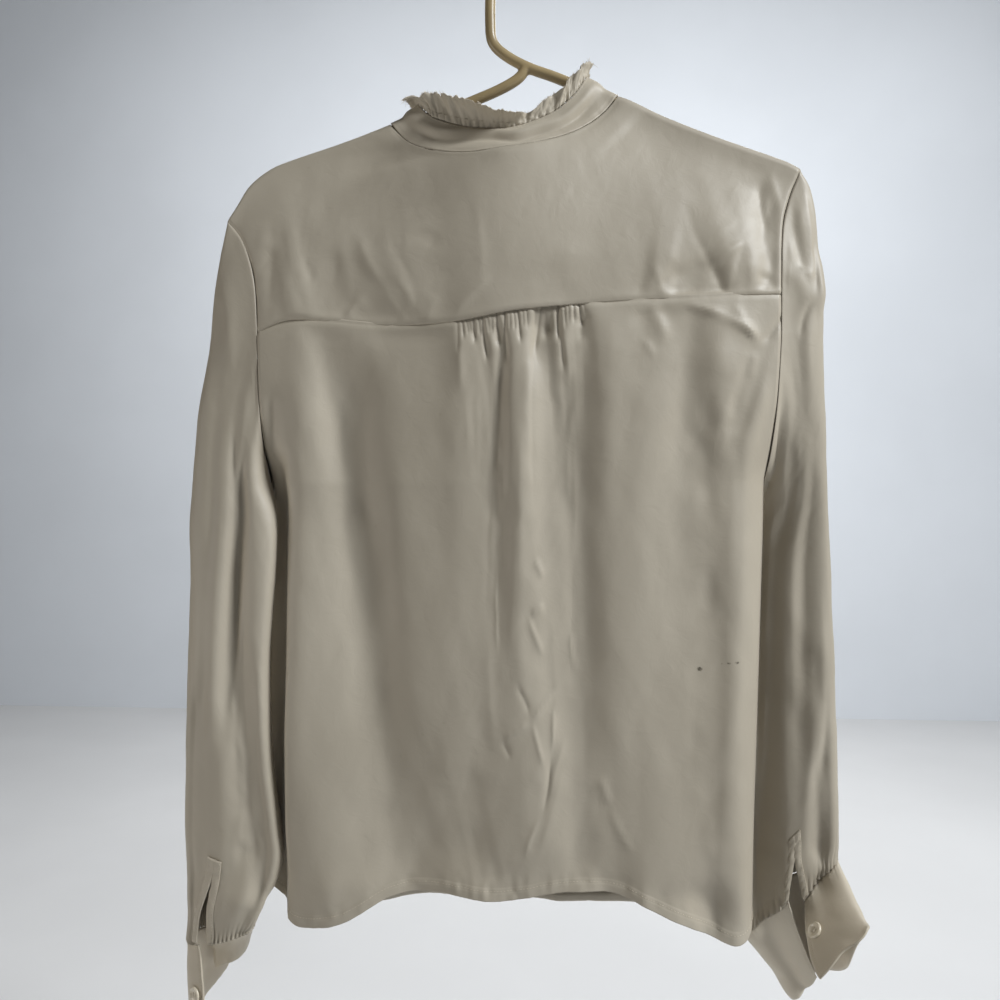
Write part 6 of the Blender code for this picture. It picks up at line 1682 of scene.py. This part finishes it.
class BlouseSilk(PropertyGroup):
    """The cloth's look."""

    colour: FloatVectorProperty(name="Silk", description="The cloth's own colour", subtype="COLOR",
                                default=(0.475, 0.422, 0.335), min=0.0, max=1.0)
    deep_colour: FloatVectorProperty(name="Deep tone", description="Its colour where it has aged",
                                     subtype="COLOR", default=(0.42, 0.370, 0.290), min=0.0, max=1.0)
    roughness: FloatProperty(name="Roughness", description="How dull the satin is", default=0.50,
                             min=0.1, max=1.0)
    sheen: FloatProperty(name="Sheen", description="Light caught by the raised fibres", default=0.18,
                         min=0.0, max=1.0)
    crinkle: FloatProperty(name="Crinkle", description="Share of fine crinkles in the creasing",
                           default=0.22, min=0.0, max=1.0)
    rumple_depth: FloatProperty(name="Rumple depth", description="Depth of the soft creasing",
                                subtype="DISTANCE", default=0.0022, min=0.0, max=0.01, precision=4)


class BlouseSewing(PropertyGroup):
    """Stitches and loose threads."""

    stitch_pitch: FloatProperty(name="Stitch pitch", default=2.5, min=1.0, max=6.0,
                                description="From one stitch to the next, in millimetres")
    stitch_length: FloatProperty(name="Stitch length", description="In millimetres", default=1.9,
                                 min=0.5, max=5.0)
    thread_radius: FloatProperty(name="Thread radius", description="In millimetres", default=0.24,
                                 min=0.05, max=0.5)
    fringe_threads: IntProperty(name="Loose threads", description="On the ruffle's raw edge",
                                default=620, min=0, max=1500)


class BlouseHanger(PropertyGroup):
    """The moulded hanger."""

    colour: FloatVectorProperty(name="Plastic", description="The plastic's colour", subtype="COLOR",
                                default=(0.42, 0.32, 0.17), min=0.0, max=1.0)
    mould_grain: FloatProperty(name="Mesh grain", default=1.0, min=0.6, max=2.0,
                               description="Size of its mesh's faces, in millimetres")


class BlouseStage(PropertyGroup):
    """Camera, floor, backdrop and lights."""

    camera_place: FloatVectorProperty(name="Camera", description="Where the camera stands",
                                      subtype="TRANSLATION", default=(0.02682, -0.71825, -0.43811))
    camera_turn: FloatProperty(name="Camera turn", description="To the left of straight ahead",
                               subtype="ANGLE", default=math.radians(4.0))
    lens: FloatProperty(name="Lens", description="Focal length on a 36 mm sensor, in millimetres",
                        default=33.2, min=10.0, max=200.0)
    floor_height: FloatProperty(name="Floor", description="Height of the floor", subtype="DISTANCE",
                                default=-1.30)
    key_power: FloatProperty(name="Key light", description="Power of the large soft light",
                             subtype="POWER", default=112.0, min=0.0)
    fill_power: FloatProperty(name="Fill light", description="Power of the low lights at the sides",
                              subtype="POWER", default=1.6, min=0.0)
    surround: FloatProperty(name="Surround", description="Brightness all round", default=0.04, min=0.0)


# ---------- operators


class BLOUSE_OT_finishes(Operator):
    """Makes the silk, thread, plastic and resin finishes."""

    bl_idname = "blouse.finishes"
    bl_label = "Finishes"

    def execute(self, context):
        scene = context.scene
        groups = {"weave": satin_weave_group(), "handling": handling_group(), "aged": mottle_group()}
        finishes["silk"] = silk_material("silk_satin", scene.blouse_silk, groups)
        # Lighter copies of the silk: the trim's 1.10 and the cuffs' 1.28 are partly the denser tone of
        # doubled cloth, partly painted light where these pieces catch the light.
        finishes["trim"] = silk_material("silk_trim", scene.blouse_silk, groups, 1.10, soil=False)
        finishes["cuff"] = silk_material("silk_doubled", scene.blouse_silk, groups, 1.28, soil=False)
        finishes["thread"] = thread_material(scene.blouse_silk)
        finishes["plastic"] = hanger_material(scene.blouse_hanger)
        finishes["resin"] = button_material()
        return {"FINISHED"}


class BLOUSE_OT_hanger(Operator):
    """Makes the moulded hanger with its hook."""

    bl_idname = "blouse.hanger"
    bl_label = "Hanger"

    def execute(self, context):
        make_hanger(context.scene.blouse_hanger.mould_grain)
        return {"FINISHED"}


class BLOUSE_OT_back(Operator):
    """Makes the yoke and the gathered back panel, with their stitching."""

    bl_idname = "blouse.back"
    bl_label = "Back"

    def execute(self, context):
        yoke, panel = make_yoke(), make_back_panel()
        stitches = sew("back_hem", BACK_SKIN, CLOTH / 2 + HEM_THREAD,
                       run_across(1.0 - HEM_STITCH / PANEL_LENGTH))
        return {"FINISHED"}


class BLOUSE_OT_fronts(Operator):
    """Makes the two fronts, their button band and their stitching."""

    bl_idname = "blouse.fronts"
    bl_label = "Fronts"

    def execute(self, context):
        for name, side in (("front_left", -1), ("front_right", 1)):
            piece = make_front(name, side)
            stitches = sew(name + "_hem", FRONT_SKINS[side], CLOTH / 2 + HEM_THREAD,
                           run_across(1.0 - HEM_STITCH / FRONT_LENGTH))
        band = make_band()
        stitches = sew("front_band", BAND_SKIN, DOUBLED / 2 + HEM_THREAD,
                       *(run_down(u, 0.004, 0.996, 300) for u in BAND_STITCHES))
        return {"FINISHED"}


class BLOUSE_OT_sleeves(Operator):
    """Makes the sleeves, the bindings of their slits and the open cuffs."""

    bl_idname = "blouse.sleeves"
    bl_label = "Sleeves and cuffs"

    def execute(self, context):
        for label, side in (("left", -1), ("right", 1)):
            name = "sleeve_" + label
            make_sleeve(name, side)
            for which, start, turn in (("inner", 0.0, 1.0), ("outer", 1.0, -1.0)):
                skin = binding_skin(side, start, turn)
                piece = make_binding("%s_binding_%s" % (name, which), skin)
                stitches = sew("%s_%s" % (name, which), skin, BINDING_THREAD,
                               run_down(BINDING_STITCHES[0], 0.02, 0.99, 120))
            cuff = make_cuff("cuff_" + label, side)
            edge, end = EDGE_STITCH / CUFF_HEIGHT, EDGE_STITCH / CUFF_AROUND
            stitches = sew("cuff_" + label, CUFF_SKINS[side], DOUBLED / 2 + TOP_THREAD,
                           *(run_across(v) for v in (edge, 1.0 - edge)),
                           *(run_down(u, edge, 1.0 - edge, 80) for u in (end, 1.0 - end)))
        return {"FINISHED"}


class BLOUSE_OT_collar(Operator):
    """Makes the band collar and the raw-edged ruffle on it."""

    bl_idname = "blouse.collar"
    bl_label = "Collar and ruffle"

    def execute(self, context):
        collar = make_collar()
        stitches = sew("collar", COLLAR_SKIN, DOUBLED / 2 + TOP_THREAD,
                       *(run_across(v, 0.004, 0.996, 700) for v in COLLAR_STITCHES))
        ruffle = make_ruffle()
        fringe = make_fringe(context.scene.blouse_sewing.fringe_threads)
        return {"FINISHED"}


class BLOUSE_OT_buttons(Operator):
    """Makes the buttons and sews them on."""

    bl_idname = "blouse.buttons"
    bl_label = "Buttons"

    def execute(self, context):
        seat = DOUBLED / 2 + BUTTON_THICK / 2
        top, low = (float(band_form(np.float64(0.5), np.float64(v))[2]) for v in (0.0, 1.0))
        forward = Vector((0, 1, 0))
        for index in range(FRONT_BUTTONS):
            v = (FIRST_BUTTON_Z - BUTTON_PITCH * index - top) / (low - top)
            make_button("front_button_%d" % (index + 1), BAND_SKIN, 0.5, v, BUTTON_RADIUS, seat + 0.4,
                        forward)
        make_button("collar_button", COLLAR_SKIN, COLLAR_BUTTON_SHARE, 0.5, BUTTON_RADIUS, seat + 0.6,
                    forward)
        for label, side, sleeve in (("left", -1, SLEEVE_LEFT), ("right", 1, SLEEVE_RIGHT)):
            make_button("cuff_button_" + label, CUFF_SKINS[side], sleeve.button_around,
                        sleeve.button_down, CUFF_BUTTON_RADIUS, seat + 0.5, Vector((0, -1, 0.4)))
        return {"FINISHED"}


def add_area_light(name, place, target, size, power, colour):
    light = bpy.data.lights.new(name, "AREA")
    light.shape = "RECTANGLE"
    light.size, light.size_y = size
    light.energy = power
    light.color = colour
    item = bpy.data.objects.new(name, light)
    item.location = place
    item.rotation_euler = (Vector(target) - Vector(place)).to_track_quat("-Z", "Y").to_euler()
    bpy.context.scene.collection.objects.link(item)


def add_ground(name, matrix, colour):
    bm = bmesh.new()
    bmesh.ops.create_grid(bm, x_segments=1, y_segments=1, size=7.0, matrix=matrix)
    ground = mesh_object(name, bm)
    ground.data.materials.append(plaster_material("pale_" + name, colour))


class BLOUSE_OT_stage(Operator):
    """Sets the camera, the pale floor and backdrop, and the soft light."""

    bl_idname = "blouse.stage"
    bl_label = "Stage"

    def execute(self, context):
        scene, stage = context.scene, context.scene.blouse_stage
        camera = bpy.data.objects.new("camera", bpy.data.cameras.new("camera"))
        camera.data.sensor_width = 36.0
        camera.data.lens = stage.lens
        camera.location = stage.camera_place
        camera.rotation_euler = (math.radians(90.0), 0.0, stage.camera_turn)
        camera.data.clip_start = 0.01
        scene.collection.objects.link(camera)
        scene.camera = camera

        add_ground("floor", Matrix.Translation((0.0, 0.0, stage.floor_height)), (0.72, 0.72, 0.72))
        upright = Matrix.Rotation(math.radians(90.0), 4, "X")
        add_ground("backdrop", Matrix.Translation((0.0, 3.0, 0.0)) @ upright, (0.78, 0.81, 0.85))

        middle, low_left, low_right = (0.0, 0.0, -0.42), (-0.24, -0.03, -0.60), (0.22, -0.02, -0.75)
        warm, fill = (1.0, 0.96, 0.90), stage.fill_power
        for light in (
                ("key", (2.25, -1.15, 1.60), middle, (0.75, 0.75), stage.key_power, (0.92, 0.96, 1.0)),
                ("right_strip", (1.5, -0.5, -0.55), low_right, (0.5, 1.0), fill, warm),
                ("left_strip", (-1.6, -0.42, -0.50), low_left, (0.5, 1.0), 4.0 * fill, warm),
                ("far_side", (0.6, 2.2, 1.2), middle, (1.4, 1.0), 24.0, (1.0, 0.99, 0.97)),
                ("wall_wash", (0.0, 1.4, 1.2), (0.0, 3.0, -0.5), (3.0, 0.8), 30.0, (0.98, 0.99, 1.0))):
            add_area_light(*light)
        world = bpy.data.worlds.new("surround")
        world.use_nodes = True
        background = world.node_tree.nodes["Background"]
        background.inputs["Color"].default_value = (1.0, 0.95, 0.88, 1.0)
        background.inputs["Strength"].default_value = stage.surround
        scene.world = world
        scene.view_settings.view_transform = "Standard"
        return {"FINISHED"}


class BLOUSE_PT_pieces(Panel):
    """Lists the steps that make the blouse, and their sizes and colours."""

    bl_label = "Silk blouse"
    bl_idname = "BLOUSE_PT_pieces"
    bl_space_type = "VIEW_3D"
    bl_region_type = "UI"
    bl_category = "Blouse"

    def draw(self, context):
        layout, scene = self.layout, context.scene
        for operator in OPERATORS:
            layout.operator(operator.bl_idname)
        for group, _ in SETTINGS:
            settings, box = getattr(scene, group), layout.box()
            for name in settings.__annotations__:
                box.prop(settings, name)


OPERATORS = (BLOUSE_OT_finishes, BLOUSE_OT_stage, BLOUSE_OT_hanger, BLOUSE_OT_back, BLOUSE_OT_fronts,
             BLOUSE_OT_sleeves, BLOUSE_OT_collar, BLOUSE_OT_buttons)
SETTINGS = (("blouse_silk", BlouseSilk), ("blouse_sewing", BlouseSewing),
            ("blouse_hanger", BlouseHanger), ("blouse_stage", BlouseStage))


def register():
    for name, kind in SETTINGS:
        bpy.utils.register_class(kind)
        setattr(bpy.types.Scene, name, PointerProperty(type=kind))
    for kind in OPERATORS + (BLOUSE_PT_pieces,):
        bpy.utils.register_class(kind)


def unregister():
    for kind in (BLOUSE_PT_pieces,) + OPERATORS[::-1]:
        bpy.utils.unregister_class(kind)
    for name, kind in SETTINGS[::-1]:
        delattr(bpy.types.Scene, name)
        bpy.utils.unregister_class(kind)


def main():
    register()
    bpy.ops.blouse.finishes()
    bpy.ops.blouse.stage()
    bpy.ops.blouse.hanger()
    bpy.ops.blouse.back()
    bpy.ops.blouse.fronts()
    bpy.ops.blouse.sleeves()
    bpy.ops.blouse.collar()
    bpy.ops.blouse.buttons()
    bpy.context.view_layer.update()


if __name__ == "__main__":
    main()
